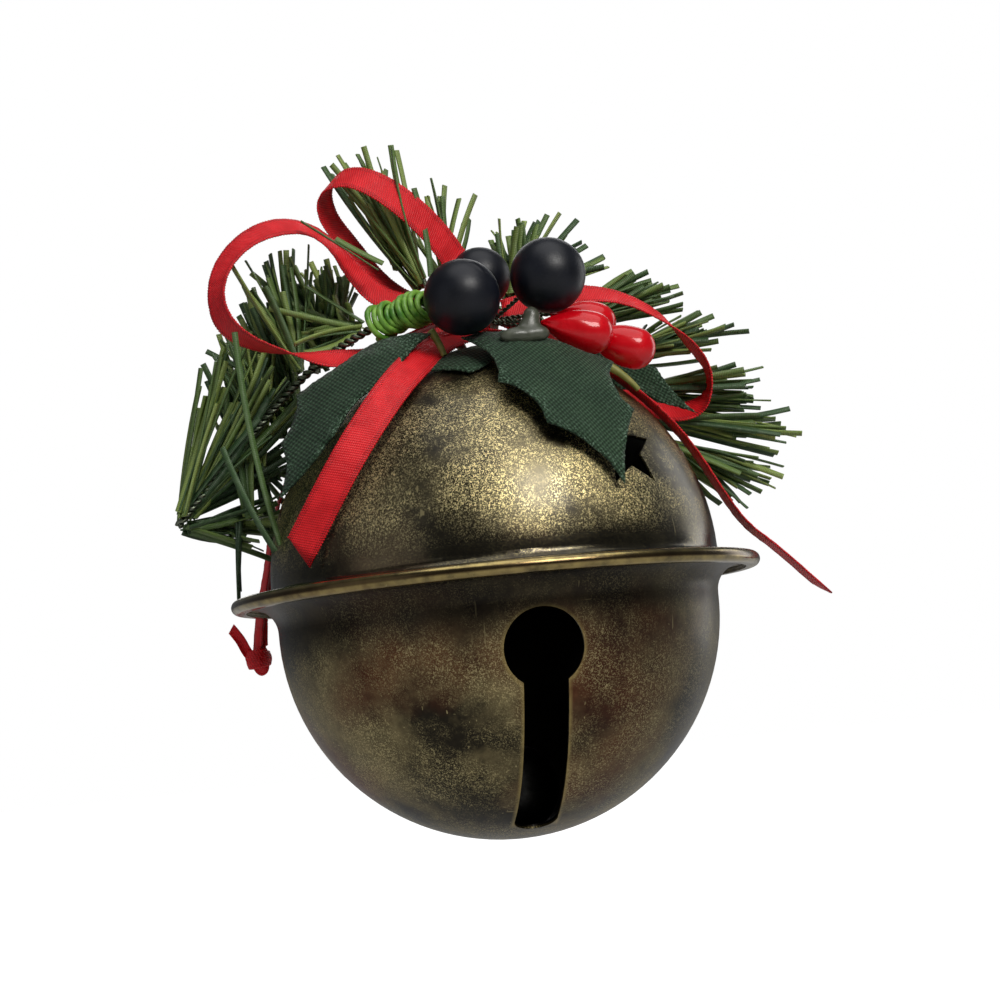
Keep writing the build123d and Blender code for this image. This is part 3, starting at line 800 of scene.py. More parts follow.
def make_brass(name, dark, brown, flecks, stains, coat, keyhole):
    finish, tree, shader, where = open_finish(name)
    parts = add(tree, "ShaderNodeSeparateXYZ", None, {0: where})
    x, y, z = (out(parts, k) for k in range(3))
    patina = add(tree, "ShaderNodeGroup", {"node_tree": patina_group}, {
        "Place": where, "Dark": dark, "Brown": brown, "Stains": stains,
        "Flecks": flecks if keyhole else spread(tree, z, FOOT_TOP - 0.003, FOOT_TOP + 0.004, 0.10, flecks),
    })
    radius = long_side(tree, x, y)
    uneven = noise(tree, where, 420.0, 3.0)
    worn = spread(tree, radius, RIM_START, RIM_START + 0.0022)
    if keyhole:
        to_edge = plus(tree, keyhole_distance(tree, x, z), times(tree, uneven, 0.0005))
        near_slot = spread(tree, to_edge, 0.0003, 0.0010, 1.0, 0.0)
        outside = spread(tree, maths(tree, "ABSOLUTE", y), 0.012, 0.016)
        worn = maths(tree, "MAXIMUM", worn, times(tree, near_slot, outside))
    worn = times(tree, worn, spread(tree, uneven, 0.30, 0.62, 0.25, 0.9))
    colour = mix_colours(tree, worn, out(patina, "Colour"), WORN_BRASS)
    middle, skin = (BOWL_CENTRE, BOWL_SKIN) if keyhole else (DOME_MIDDLE, DOME_SKIN)
    depth = long_side(tree, radius, minus(tree, z, middle))
    colour = mix_colours(tree, spread(tree, depth, skin, skin + 0.0002), SOOT_AND_SHADE, colour)
    rough = out(patina, "Roughness")
    if keyhole:
        # Painted shade: the bowl is darkened in a band just under the rim, where the rim overhangs it. This
        # also stands for soot that polish doesn't reach.
        under_rim = spread(tree, z, RIM_SHADE_LOW, RIM_SHADE_HIGH, 0.0, 0.80)
        soot_and_shade = times(tree, under_rim, spread(tree, radius, NECK_RADIUS, NECK_RADIUS + 0.0015, 1.0, 0.0))
        # More painted shade: the bowl darkens towards its right side.
        soot_and_shade = maths(tree, "MAXIMUM", soot_and_shade, spread(tree, x, 0.002, 0.030, 0.0, 0.55))
        colour = mix_colours(tree, soot_and_shade, colour, SOOT_AND_SHADE)
    else:
        off_seam = maths(tree, "ABSOLUTE", minus(tree, z, RIM_MIDDLE))
        seam = spread(tree, off_seam, 0.00025, 0.00055, 0.85, 0.0)
        seam = times(tree, seam, spread(tree, radius, 0.0470, 0.0480))
        colour = mix_colours(tree, seam, colour, SEAM_BROWN)
        rough = times(tree, rough, spread(tree, z, FOOT_TOP - 0.004, FOOT_TOP, 0.55, 1.0))
    level = plus(tree, times(tree, noise(tree, where, 70.0, 2.0), 8.0), out(patina, "Height"))
    coating = {"Metallic": 1.0, "Coat_Weight": coat, "Coat_Roughness": 0.22}
    dress(tree, shader, colour, rough, level, 0.5, 0.00005, **coating)
    return finish


DOME_BRASS = make_brass(
    "aged_brass_dome", dark=(0.040, 0.034, 0.022, 1), brown=(0.130, 0.110, 0.064, 1),
    flecks=1.0, stains=0.40, coat=0.30, keyhole=False,
)
BOWL_BRASS = make_brass(
    "aged_brass_bowl", dark=(0.026, 0.021, 0.013, 1), brown=(0.250, 0.200, 0.098, 1),
    flecks=0.34, stains=0.95, coat=0.14, keyhole=True,
)


def repaint(node_name, finish):
    """Give a measured part a finish, without touching its mesh."""
    node = NODES[node_name]
    if not node.material_slots:
        node.data.materials.append(finish)
    for place in node.material_slots:
        place.material = finish


repaint("upper_shell", DOME_BRASS)
repaint("lower_bowl", BOWL_BRASS)
print("shells finished in", DOME_BRASS.name, "and", BOWL_BRASS.name)

# %% [markdown]
# ## Plain metals
# The ball and the crown loop are steel, mostly hidden. A little noise in the
# roughness keeps them from looking like a computer's perfect chrome.

# %% Steel for the ball and the loop
def make_metal(name, bright, dull, rough, scale):
    return make_mottled(name, bright, dull, scale, rough, 0.2, 0.00003, Metallic=1.0)


BALL_STEEL = make_metal(
    "tumbled_steel", (0.060, 0.058, 0.055, 1), (0.025, 0.024, 0.022, 1), (0.35, 0.6), 500.0
)
LOOP_WIRE = make_metal("loop_wire", (0.40, 0.37, 0.30, 1), (0.18, 0.16, 0.12, 1), (0.3, 0.5), 700.0)
repaint("loose_ball", BALL_STEEL)
repaint("crown_loop", LOOP_WIRE)

# %% [markdown]
# ## Needles of artificial pine
# The needles are strips slit from embossed plastic film, some olive and some
# blue-green, twisted into a wire in tufts. Each is a flat blade that follows
# its own slightly bent line. Geometry Nodes sweep a thin section along all of
# the lines at once. Width, twist and tint ride along as point attributes.

# %% Film finish for the needles
def make_film():
    finish, tree, shader, where = open_finish("pine_film")
    tint = out(add(tree, "ShaderNodeAttribute", {"attribute_name": "tint"}), "Fac")
    run = out(add(tree, "ShaderNodeAttribute", {"attribute_name": "run"}), "Fac")
    ramp = add(tree, "ShaderNodeValToRGB", None, {0: tint})
    stops = ramp.color_ramp.elements
    stops[0].color = (0.018, 0.050, 0.022, 1)
    stops[1].color = (0.40, 0.50, 0.17, 1)
    middles = {0.3: (0.055, 0.115, 0.036, 1), 0.55: (0.125, 0.205, 0.045, 1), 0.8: (0.27, 0.36, 0.085, 1)}
    for place, colour in middles.items():
        stops.new(place).color = colour
    height, gaps = weave(tree, run, run, 0.00034, 0.00034)
    cloud = noise(tree, where, 700.0, 3.0)
    dusty = mix_colours(tree, spread(tree, cloud, 0.45, 0.8, 0.0, 0.3), out(ramp), (0.22, 0.27, 0.18, 1))
    colour = mix_colours(tree, times(tree, gaps, 0.22), dusty, (0.008, 0.016, 0.006, 1))
    rough = spread(tree, height, 0.0, 1.0, 0.55, 0.34)
    dress(tree, shader, colour, rough, height, 0.6, 0.00008, Specular_IOR_Level=0.45)
    return finish


PINE_FILM = make_film()

# %% Geometry Nodes: flat blades along lines
blades_group, blades_in, blades_out = open_group(
    "blades_along_lines",
    "GeometryNodeTree",
    [
        ("Geometry", "NodeSocketGeometry", None), ("Blade Width", FLOAT, 0.0014),
        ("Blade Thickness", FLOAT, 0.0003), ("Finish", "NodeSocketMaterial", None),
    ],
    [("Geometry", "NodeSocketGeometry")],
)


def named(tree, title):
    return out(add(tree, "GeometryNodeInputNamedAttribute", {"data_type": "FLOAT"}, {"Name": title}))


blade_lines = add(blades_group, "GeometryNodeMeshToCurve", None, {0: out(blades_in, "Geometry")})
widened = add(blades_group, "GeometryNodeSetCurveRadius", None, {
    "Curve": out(blade_lines), "Radius": named(blades_group, "spread"),
})
tilted = add(blades_group, "GeometryNodeSetCurveTilt", None, {
    "Curve": out(widened), "Tilt": named(blades_group, "twist"),
})
section = add(blades_group, "GeometryNodeCurvePrimitiveQuadrilateral", None, {
    "Width": out(blades_in, "Blade Width"), "Height": out(blades_in, "Blade Thickness"),
})
swept = add(blades_group, "GeometryNodeCurveToMesh", None, {
    "Curve": out(tilted), "Profile Curve": out(section), "Fill Caps": True,
})
real_blades = add(blades_group, "GeometryNodeRealizeInstances", None, {0: out(swept)})
coated = add(blades_group, "GeometryNodeSetMaterial", None, {
    "Geometry": out(real_blades), "Material": out(blades_in, "Finish"),
})
blades_group.links.new(out(coated), blades_out.inputs[0])
print("blade group has", len(blades_group.nodes), "nodes")

# %% [markdown]
# A tuft is given by its root, the first and the last tip of its fan, and how
# many needles it has. Chance, from a fixed seed, moves each root and tip a
# little, so no two needles are parallel, and shares out the tints. The tufts
# called extra only fill the sprigs, and stand for no measured part.

# %% Tufts: root, first tip, last tip, needles, lowest and highest tint
TUFTS = {
    "needles_left_end_upper": ((-57.7, 7.8, -32.4), (-49.4, 2.7, -4.4), (-41.9, 5.3, 2.2), 15, 0.25, 0.85),
    "needles_left_end_middle": ((-56.4, 9.7, -31.8), (-39.9, 3.8, 0.7), (-33.5, 7.8, -11.7), 26, 0.05, 0.80),
    "needles_left_end_lower": ((-56.9, 12.8, -33.4), (-39.5, 19.0, -28.0), (-41.5, 21.0, -39.2), 15, 0.05, 0.6),
    "needles_left_front": ((-40.4, -8.8, -41.6), (-45.8, -10.4, 1.4), (-49.6, -9.0, -21.8), 2, 0.25, 0.4),
    "needles_left_middle": ((-33.1, 6.4, -5.7), (-43.7, 5.1, 14.1), (-30.6, 9.3, 19.6), 28, 0.10, 0.80),
    "needles_left_inner": ((-27.0, 8.2, -1.0), (-29.8, 12.3, 16.8), (-21.0, 13.0, 14.1), 20, 0.10, 0.70),
    "needles_left_short": ((-20.7, 2.6, 1.6), (-33.4, 7.0, 9.8), (-35.0, 1.6, -3.4), 14, 0.35, 0.90),
    "needles_top_left": ((-7.9, 4.3, 8.4), (-23.2, 9.4, 34.2), (-11.7, 8.4, 37.0), 22, 0.30, 0.80),
    "needles_top_right": ((-3.0, 6.8, 9.0), (-7.6, 8.4, 30.7), (4.8, 8.3, 27.0), 10, 0.35, 0.85),
    "needles_crown_right": ((9.4, 8.6, 6.4), (7.1, 8.9, 20.3), (31.9, 7.7, 11.2), 28, 0.15, 0.80),
    "needles_right_first": ((18.0, 9.0, -0.6), (37.7, 8.7, 8.6), (46.0, 6.3, 2.8), 20, 0.15, 0.80),
    "needles_right_second": ((26.8, 9.2, -7.4), (49.1, 6.7, 1.0), (50.4, 6.7, -7.0), 22, 0.15, 0.80),
    "needles_right_third": ((32.3, 9.4, -13.8), (56.8, 6.4, -9.1), (57.9, 6.4, -17.6), 22, 0.15, 0.80),
    "needles_right_fourth": ((35.2, 9.2, -19.2), (60.6, 5.8, -20.2), (62.3, 5.5, -28.6), 22, 0.15, 0.80),
    "needles_right_fifth": ((37.1, 9.0, -24.2), (59.1, 6.0, -31.6), (51.0, 6.4, -38.4), 20, 0.15, 0.75),
    "extra_left_a": ((-34.3, 16.0, -9.8), (-47.1, 16.2, 1.5), (-38.1, 14.6, 15.4), 20, 0.15, 0.85),
    "extra_left_b": ((-25.3, 14.5, -1.9), (-38.1, 15.6, 15.6), (-29.9, 14.2, 13.0), 14, 0.15, 0.85),
    "extra_left_c": ((-40.8, 15.2, -18.4), (-48.5, 14.8, -8.0), (-44.1, 13.6, 5.2), 18, 0.15, 0.80),
    "extra_left_d": ((-55.8, 16.7, -29.8), (-32.8, 14.7, -9.3), (-35.6, 15.2, -23.3), 18, 0.0, 0.45),
    "extra_left_e": ((-43.4, 18.6, -21.8), (-48.8, 18.5, -1.6), (-37.2, 18.5, 0.9), 20, 0.10, 0.80),
    "extra_left_f": ((-40.9, 23.2, -21.8), (-36.2, 22.4, -22.3), (-38.1, 22.7, -39.3), 10, 0.05, 0.5),
    "extra_left_g": ((-28.5, 19.1, -3.7), (-30.7, 19.5, 11.1), (-20.2, 17.7, 13.7), 16, 0.10, 0.75),
    "extra_left_h": ((-21.8, 10.9, 0.4), (-31.9, 9.5, 3.6), (-25.6, 8.5, 9.7), 12, 0.35, 0.95),
    "extra_left_i": ((-41.3, 15.2, -22.6), (-46.9, 14.5, -4.9), (-39.2, 13.8, 2.1), 14, 0.25, 0.95),
    "extra_left_j": ((-33.1, 15.8, -15.2), (-44.4, 15.8, 2.0), (-31.4, 14.5, 4.7), 14, 0.20, 0.85),
    "extra_left_k": ((-44.5, 13.7, -32.3), (-48.8, 12.9, -8.0), (-43.1, 12.5, -4.8), 12, 0.30, 0.95),
    "extra_left_l": ((-26.5, 12.7, -4.2), (-38.4, 13.7, 11.0), (-24.8, 12.4, 14.7), 14, 0.30, 0.95),
    "extra_left_m": ((-36.1, 17.4, -16.6), (-43.0, 17.5, 6.3), (-33.7, 16.0, 11.4), 14, 0.20, 0.85),
    "extra_left_n": ((-51.1, 19.9, -33.0), (-39.8, 18.0, -37.1), (-36.5, 17.4, -28.5), 10, 0.15, 0.75),
    "extra_left_o": ((-22.4, 9.9, 0.0), (-30.6, 11.3, 17.4), (-20.9, 9.7, 11.9), 12, 0.35, 0.95),
    "extra_left_p": ((-45.7, 13.9, -32.0), (-47.6, 14.2, -47.4), (-47.4, 14.4, -45.5), 2, 0.0, 0.1),
    "extra_top": ((-11.5, 8.1, 13.5), (-18.7, 9.8, 37.2), (-12.4, 9.2, 36.2), 7, 0.40, 0.95),
    "extra_front_top": ((-7.1, -1.8, 9.0), (-12.2, -2.0, 36.3), (-8.6, -1.6, 27.6), 2, 0.35, 0.5),
    "extra_front_left": ((-16.6, -6.3, 11.0), (-30.8, -4.4, 21.1), (-25.2, -5.3, 17.9), 2, 0.30, 0.6),
    "extra_right_h": ((31.7, 12.8, -5.7), (45.1, 9.5, 2.9), (53.1, 8.1, -4.8), 16, 0.15, 0.85),
    "extra_right_i": ((36.3, 12.0, -15.9), (58.2, 8.2, -15.1), (60.6, 7.8, -25.3), 18, 0.15, 0.85),
    "extra_right_j": ((36.7, 12.9, -22.5), (60.2, 6.9, -30.7), (50.2, 7.6, -36.8), 14, 0.15, 0.80),
    "extra_right_k": ((12.3, 12.1, 10.8), (9.4, 14.6, 22.1), (21.8, 12.5, 23.3), 14, 0.25, 0.9),
    "extra_right_l": ((24.7, 12.0, 3.5), (36.4, 11.0, 12.1), (44.0, 9.7, 5.2), 16, 0.25, 0.9),
}
TUFT_DEPTH = 6.5        # How far the tips go forwards and back, in millimetres.
TUFT_SWAY = 3.4         # How far they go sideways.
ROOT_SCATTER = 0.9      # How far the roots lie apart.
NEEDLE_BOW = 0.0011     # The most that a needle bends, in metres.
EDGE_REACH = (0.97, 1.02)
INNER_REACH = (0.62, 0.98)
BLADE_STEPS = 7
NEEDLE_SHARE = 1.25


def needle_line(chance, root, tip, bow):
    """A needle's line: nearly straight, and bent a little to one side."""
    reach = tip - root
    any_way = Vector((chance.uniform(-1, 1), chance.uniform(-1, 1), chance.uniform(-1, 1)))
    side = reach.cross(any_way).normalized()
    line = []
    for step in range(BLADE_STEPS + 1):
        share = step / BLADE_STEPS
        line.append(root + reach * share + side * bow * 4 * share * (1 - share))
    return line


def make_tuft(name, chance):
    root, first, last, count, low_tint, high_tint = TUFTS[name]
    root, first, last = (Vector(p) for p in (root, first, last))
    lines = []
    values = {"spread": [], "twist": [], "tint": [], "run": []}
    count = round(count * (1.0 if count < 3 else NEEDLE_SHARE))
    for index in range(count):
        share = index / (count - 1)
        tip = first + (last - first) * share
        reach = (first - root).length * (1 - share) + (last - root).length * share
        edge = index in (0, count - 1)
        reach *= chance.uniform(*(EDGE_REACH if edge or index % 5 == 0 else INNER_REACH))
        depth = TUFT_DEPTH * (0.15 if count < 3 else chance.uniform(-1, 1))
        sway = chance.uniform(-TUFT_SWAY, TUFT_SWAY) if count > 2 else 0.0
        aim = (tip - root).normalized() * reach + Vector((sway, depth, chance.uniform(-0.8, 0.8)))
        left_right = chance.uniform(-ROOT_SCATTER, ROOT_SCATTER)
        up_down = chance.uniform(-ROOT_SCATTER, ROOT_SCATTER)
        start = root + Vector((left_right, depth * 0.25, up_down)) + aim * 0.04
        line = needle_line(chance, start * MM, (root + aim) * MM, chance.uniform(0.0, NEEDLE_BOW))
        lines.append(line)
        twist = chance.uniform(-1.2, 1.2)
        turn = chance.uniform(-0.7, 0.7)
        tint = chance.uniform(low_tint, high_tint)
        wide = chance.uniform(0.72, 1.05)
        for step in range(BLADE_STEPS + 1):
            share = step / BLADE_STEPS
            values["spread"].append(wide * (0.45 + 0.55 * min(1.0, share * 3.0)))
            values["twist"].append(twist + turn * share)
            values["tint"].append(tint)
            values["run"].append(line_length(line) * share)
    return lines, values


chance = random.Random(24)
blade_total = 0
for name in TUFTS:
    lines, values = make_tuft(name, chance)
    blades = grow(name + "_blades", line_mesh(name + "_lines", lines, values), blades_group, {
        "Blade Width": 0.00112, "Blade Thickness": 0.00030, "Finish": PINE_FILM,
    })
    place_piece(name + "_blades", blades, PINE_FILM, "pine_film", *([name] if name in NODES else []))
    blade_total += len(lines)
print(blade_total, "needles in", len(TUFTS), "tufts")

# %% [markdown]
# ## Wound and twisted wires
# The left sprig is bound with bright green wire in close, slanting turns. The
# stems are two wires twisted together. Both are helices round a line, so one
# Geometry Nodes tree winds them: it moves each point of the line sideways by
# the line's own normal and binormal, turned by the distance it has run.

# %% Geometry Nodes: wire wound round a line
wound_group, wound_in, wound_out = open_group(
    "wire_wound_round_lines",
    "GeometryNodeTree",
    [
        ("Geometry", "NodeSocketGeometry", None), ("Pitch", FLOAT, 0.0012), ("Coil Radius", FLOAT, 0.003),
        ("Wire Radius", FLOAT, 0.0006), ("Start Turn", FLOAT, 0.0),
        ("Slant", FLOAT, 0.0), ("Looseness", FLOAT, 0.0),
        ("Finish", "NodeSocketMaterial", None),
    ],
    [("Geometry", "NodeSocketGeometry")],
)


def wind(tree, source, sink):
    line = add(tree, "GeometryNodeMeshToCurve", None, {0: out(source, "Geometry")})
    step = maths(tree, "DIVIDE", out(source, "Pitch"), 22.0)
    fine = add(tree, "GeometryNodeResampleCurve", {"mode": "LENGTH"}, {"Curve": out(line), "Length": step})
    run = out(add(tree, "GeometryNodeSplineParameter"), "Length")
    turns = plus(tree, maths(tree, "DIVIDE", run, out(source, "Pitch")), out(source, "Start Turn"))
    angle = times(tree, turns, 2 * math.pi)
    along = out(add(tree, "GeometryNodeInputTangent"))
    normal = out(add(tree, "GeometryNodeInputNormal"))
    binormal = out(add(tree, "ShaderNodeVectorMath", {"operation": "CROSS_PRODUCT"}, {0: along, 1: normal}))
    shake = noise(tree, out(add(tree, "GeometryNodeInputPosition")), 900.0, 2.0)
    swell = times(tree, minus(tree, shake, 0.5), out(source, "Looseness"))
    radius = plus(tree, out(source, "Coil Radius"), swell)
    offsets = []
    ways = ((normal, "COSINE", radius), (binormal, "SINE", radius), (along, "COSINE", out(source, "Slant")))
    for axis, wave, size in ways:
        amount = times(tree, maths(tree, wave, angle), size)
        offsets.append(out(add(tree, "ShaderNodeVectorMath", {"operation": "SCALE"}, {0: axis, 3: amount})))
    first = add(tree, "ShaderNodeVectorMath", {"operation": "ADD"}, {0: offsets[0], 1: offsets[1]})
    total = add(tree, "ShaderNodeVectorMath", {"operation": "ADD"}, {0: out(first), 1: offsets[2]})
    moved = add(tree, "GeometryNodeSetPosition", None, {"Geometry": out(fine), "Offset": out(total)})
    section = add(tree, "GeometryNodeCurvePrimitiveCircle", None, {
        "Resolution": 8, "Radius": out(source, "Wire Radius"),
    })
    swept = add(tree, "GeometryNodeCurveToMesh", None, {
        "Curve": out(moved), "Profile Curve": out(section, 0), "Fill Caps": True,
    })
    tree.links.new(set_of(tree, out(swept), out(source, "Finish")), sink.inputs[0])


wind(wound_group, wound_in, wound_out)
print("winding group has", len(wound_group.nodes), "nodes")


# %% Finishes for plastic-coated wire, twisted stem and olive plastic
def make_plastic(name, first, second, rough, scale):
    """Coloured plastic with a slight mottle and fine grain."""
    return make_mottled(name, first, second, scale, rough, 0.35, 0.00004, grain=scale * 9)


BINDING_GREEN = make_plastic(
    "binding_green", (0.045, 0.17, 0.012, 1), (0.22, 0.42, 0.06, 1), (0.35, 0.5), 420.0
)
OLIVE_PLASTIC = make_plastic(
    "olive_plastic", (0.16, 0.19, 0.035, 1), (0.28, 0.25, 0.07, 1), (0.35, 0.55), 500.0
)
STEM_WIRE = make_metal("stem_wire", (0.20, 0.22, 0.17, 1), (0.05, 0.08, 0.04, 1), (0.3, 0.5), 900.0)

# %% Wind the binding and twist the stems
STEM_TWIST = (0.0030, 0.00042)
BERRY_WIRE_TWIST = (0.0022, 0.00024)  # Pitch, and radius of wire and twist.


def twisted_pair(name, lines, pitch, size):
    """Two wires twisted together along each line, half a turn apart."""
    strands = [
        grow(name + "_strand", line_mesh(name + "_lines", lines), wound_group, {
            "Pitch": pitch, "Coil Radius": size, "Wire Radius": size, "Start Turn": turn, "Finish": STEM_WIRE,
        })
        for turn in (0.0, 0.5)
    ]
    place_piece(name + "_twisted", merged(name + "_twisted", *strands), STEM_WIRE, "stem_wire", name)


binding_line = line_of([(-19.4, -9.1, -0.2), (-16.0, -9.6, 0.7), (-12.0, -10.2, 1.8), (-8.6, -10.6, 2.6)])
binding = grow("binding_wound", line_mesh("binding_line", [binding_line]), wound_group, {
    "Pitch": 0.00118, "Coil Radius": 0.0028, "Wire Radius": 0.00058, "Start Turn": 0.2, "Slant": -0.0022,
    "Looseness": 0.0046, "Finish": BINDING_GREEN,
})
place_piece("binding_wound", binding, BINDING_GREEN, "binding_green", "binding_wire")

STEM_LINES = {
    "pine_stem_left": [
        (-5.0, -11.2, 3.5), (-10.4, -10.4, 2.1), (-19.2, -9.1, -0.2), (-30.0, -1.0, -5.0),
        (-40.0, 4.6, -14.0), (-50.0, 7.4, -24.0), (-58.2, 8.0, -33.2),
    ],
    "pine_stem_upper": [
        (-3.4, -2.4, 5.6), (-5.2, 0.6, 7.0), (-7.6, 3.0, 9.2), (-10.4, 4.4, 12.8), (-12.4, 5.0, 17.4),
    ],
    "pine_stem_right": [
        (3.0, 5.4, 3.4), (10.4, 7.0, 5.2), (18.0, 7.6, -0.4), (26.8, 8.0, -7.6), (33.2, 8.0, -14.4),
        (38.4, 7.6, -23.4),
    ],
}
for name, points in STEM_LINES.items():
    twisted_pair(name, [line_of(points)], *STEM_TWIST)
print("binding and", len(STEM_LINES), "stems wound")

# %% [markdown]
# ## Holly leaves
# The leaves are stamped from starched green cloth with a plain weave, and they
# curl over the bell. Each outline is a chain of hollow bays between spikes, so
# an arc through three points draws each bay. The inside is filled with evenly
# spaced points, joined by Delaunay triangles, and the flat leaf is laid on a
# large sphere. A fold along the midrib and lifted edges finish it.

# %% Holly cloth finish
def make_holly_cloth():
    finish, tree, shader, where = open_finish("holly_cloth")
    height, gaps = weave(tree, *uv_axes(tree, "cloth"), 0.00056, 0.00072)
    cloud = noise(tree, where, 140.0, 4.0, 0.6)
    rim = out(add(tree, "ShaderNodeAttribute", {"attribute_name": "rim"}), "Fac")
    body = drifting(tree, cloud, (0.010, 0.030, 0.013, 1), (0.022, 0.052, 0.024, 1), 0.66)
    woven = mix_colours(tree, times(tree, gaps, 0.85), body, (0.004, 0.010, 0.005, 1))
    crowns = times(tree, spread(tree, height, 0.55, 0.95), 0.45)
    woven = mix_colours(tree, crowns, woven, (0.050, 0.105, 0.058, 1))
    lint = spread(tree, noise(tree, where, 2400.0, 2.0, 0.6), 0.56, 0.66)
    frayed = times(tree, lint, plus(tree, times(tree, rim, 0.8), 0.14))
    colour = mix_colours(tree, frayed, woven, (0.17, 0.27, 0.19, 1))
    rough = spread(tree, height, 0.0, 1.0, 0.85, 0.62)
    dress(
        tree, shader, colour, rough, height, 0.8, 0.00014,
        Sheen_Weight=0.06, Sheen_Roughness=0.5, Specular_IOR_Level=0.2,
    )
    return finish


HOLLY_CLOTH = make_holly_cloth()
print("finish", HOLLY_CLOTH.name)

# %% Leaf outlines, seen from the front, and how each leaf is bent
HOLLY_LEAVES = {
    "holly_leaf_front": {
        "outline": [
            (-5.3, -5.4), (-1.9, -10.4), (-2.2, -16.4), (2.6, -19.6), (4.6, -25.0), (10.2, -28.0),
            (17.4, -36.6), (18.8, -29.5), (22.2, -22.8), (19.4, -17.5), (22.0, -12.4), (14.5, -9.2),
            (5.6, -5.0), (1.0, -4.6),
        ],
        "centre": (0.0, 0.0, -44.7), "radius": 43.6,
        "rib": ((-3.6, -5.3), (9.6, -17.0), (17.2, -36.0)), "fold": 0.9,
    },
    "holly_leaf_left": {
        "outline": [
            (-10.5, -4.0), (-15.5, -8.0), (-19.5, -13.2), (-24.5, -15.2), (-28.5, -19.5), (-33.2, -25.2),
            (-40.5, -32.0), (-38.8, -26.7), (-39.0, -21.5), (-36.2, -17.0), (-35.0, -12.0), (-27.5, -8.0),
            (-21.0, -4.4), (-15.5, -3.4),
        ],
        "centre": (3.2, 15.6, -47.6), "radius": 56.0,
        "rib": ((-11.0, -4.2), (-27.0, -12.6), (-40.2, -31.6)), "fold": 0.7,
    },
    "holly_leaf_right": {
        "outline": [
            (21.0, -6.0), (28.0, -8.0), (35.2, -11.0), (37.8, -15.2), (42.5, -20.2), (38.2, -18.6),
            (34.6, -17.6), (31.6, -15.6), (27.5, -14.6), (23.8, -11.2),
        ],
        "centre": (32.0, 117.8, -13.0), "radius": 120.0,
        "rib": ((21.6, -7.4), (31.6, -13.0), (42.2, -20.0)), "fold": 0.6,
    },
    "holly_leaf_under": {
        "outline": [(-13.2, -11.4), (-8.0, -7.9), (2.0, -5.4), (0.2, -9.4), (-5.6, -12.9), (-9.5, -11.6)],
        "centre": (0.0, 0.0, -47.7), "radius": 43.0,
        "rib": ((-13.0, -11.4), (-7.0, -9.4), (1.6, -5.8)), "fold": 0.2,
    },
}
LEAF_GRID = 0.9
CLOTH_THICKNESS = 0.00038


def bay(a, b, c, steps):
    """Points of the arc from a through b to c, without c."""
    ax, ay, bx, by, cx, cy = *a, *b, *c
    d = 2 * (ax * (by - cy) + bx * (cy - ay) + cx * (ay - by))
    if abs(d) < 1e-6:
        return [(ax + (cx - ax) * s / steps, ay + (cy - ay) * s / steps) for s in range(steps)]
    ux = ((ax**2 + ay**2) * (by - cy) + (bx**2 + by**2) * (cy - ay) + (cx**2 + cy**2) * (ay - by)) / d
    uy = ((ax**2 + ay**2) * (cx - bx) + (bx**2 + by**2) * (ax - cx) + (cx**2 + cy**2) * (bx - ax)) / d
    start, middle, end = (math.atan2(y - uy, x - ux) for x, y in (a, b, c))
    turn = (end - start) % (2 * math.pi)
    if (middle - start) % (2 * math.pi) > turn:
        turn -= 2 * math.pi
    radius = math.hypot(ax - ux, ay - uy)
    angles = [start + turn * s / steps for s in range(steps)]
    return [(ux + radius * math.cos(t), uy + radius * math.sin(t)) for t in angles]


def leaf_outline(corners, chance):
    """The leaf's edge, with a slight fray."""
    edge = []
    for index in range(0, len(corners), 2):
        a, b, c = (corners[(index + k) % len(corners)] for k in range(3))
        steps = max(6, int(math.dist(a, c) / 0.55))
        arc = bay(a, b, c, steps)
        edge.append(arc[0])
        edge += [(x + chance.uniform(-0.09, 0.09), z + chance.uniform(-0.09, 0.09)) for x, z in arc[1:]]
    return edge


def inside(point, edge):
    x, y = point
    hit = False
    for (x1, y1), (x2, y2) in zip(edge, edge[1:] + edge[:1]):
        if (y1 > y) != (y2 > y) and x < (x2 - x1) * (y - y1) / (y2 - y1) + x1:
            hit = not hit
    return hit


def edge_gap(point, edge):
    return min(math.dist(point, spot) for spot in edge)


def outline_area(edge):
    return abs(sum(x1 * y2 - x2 * y1 for (x1, y1), (x2, y2) in zip(edge, edge[1:] + edge[:1]))) / 2


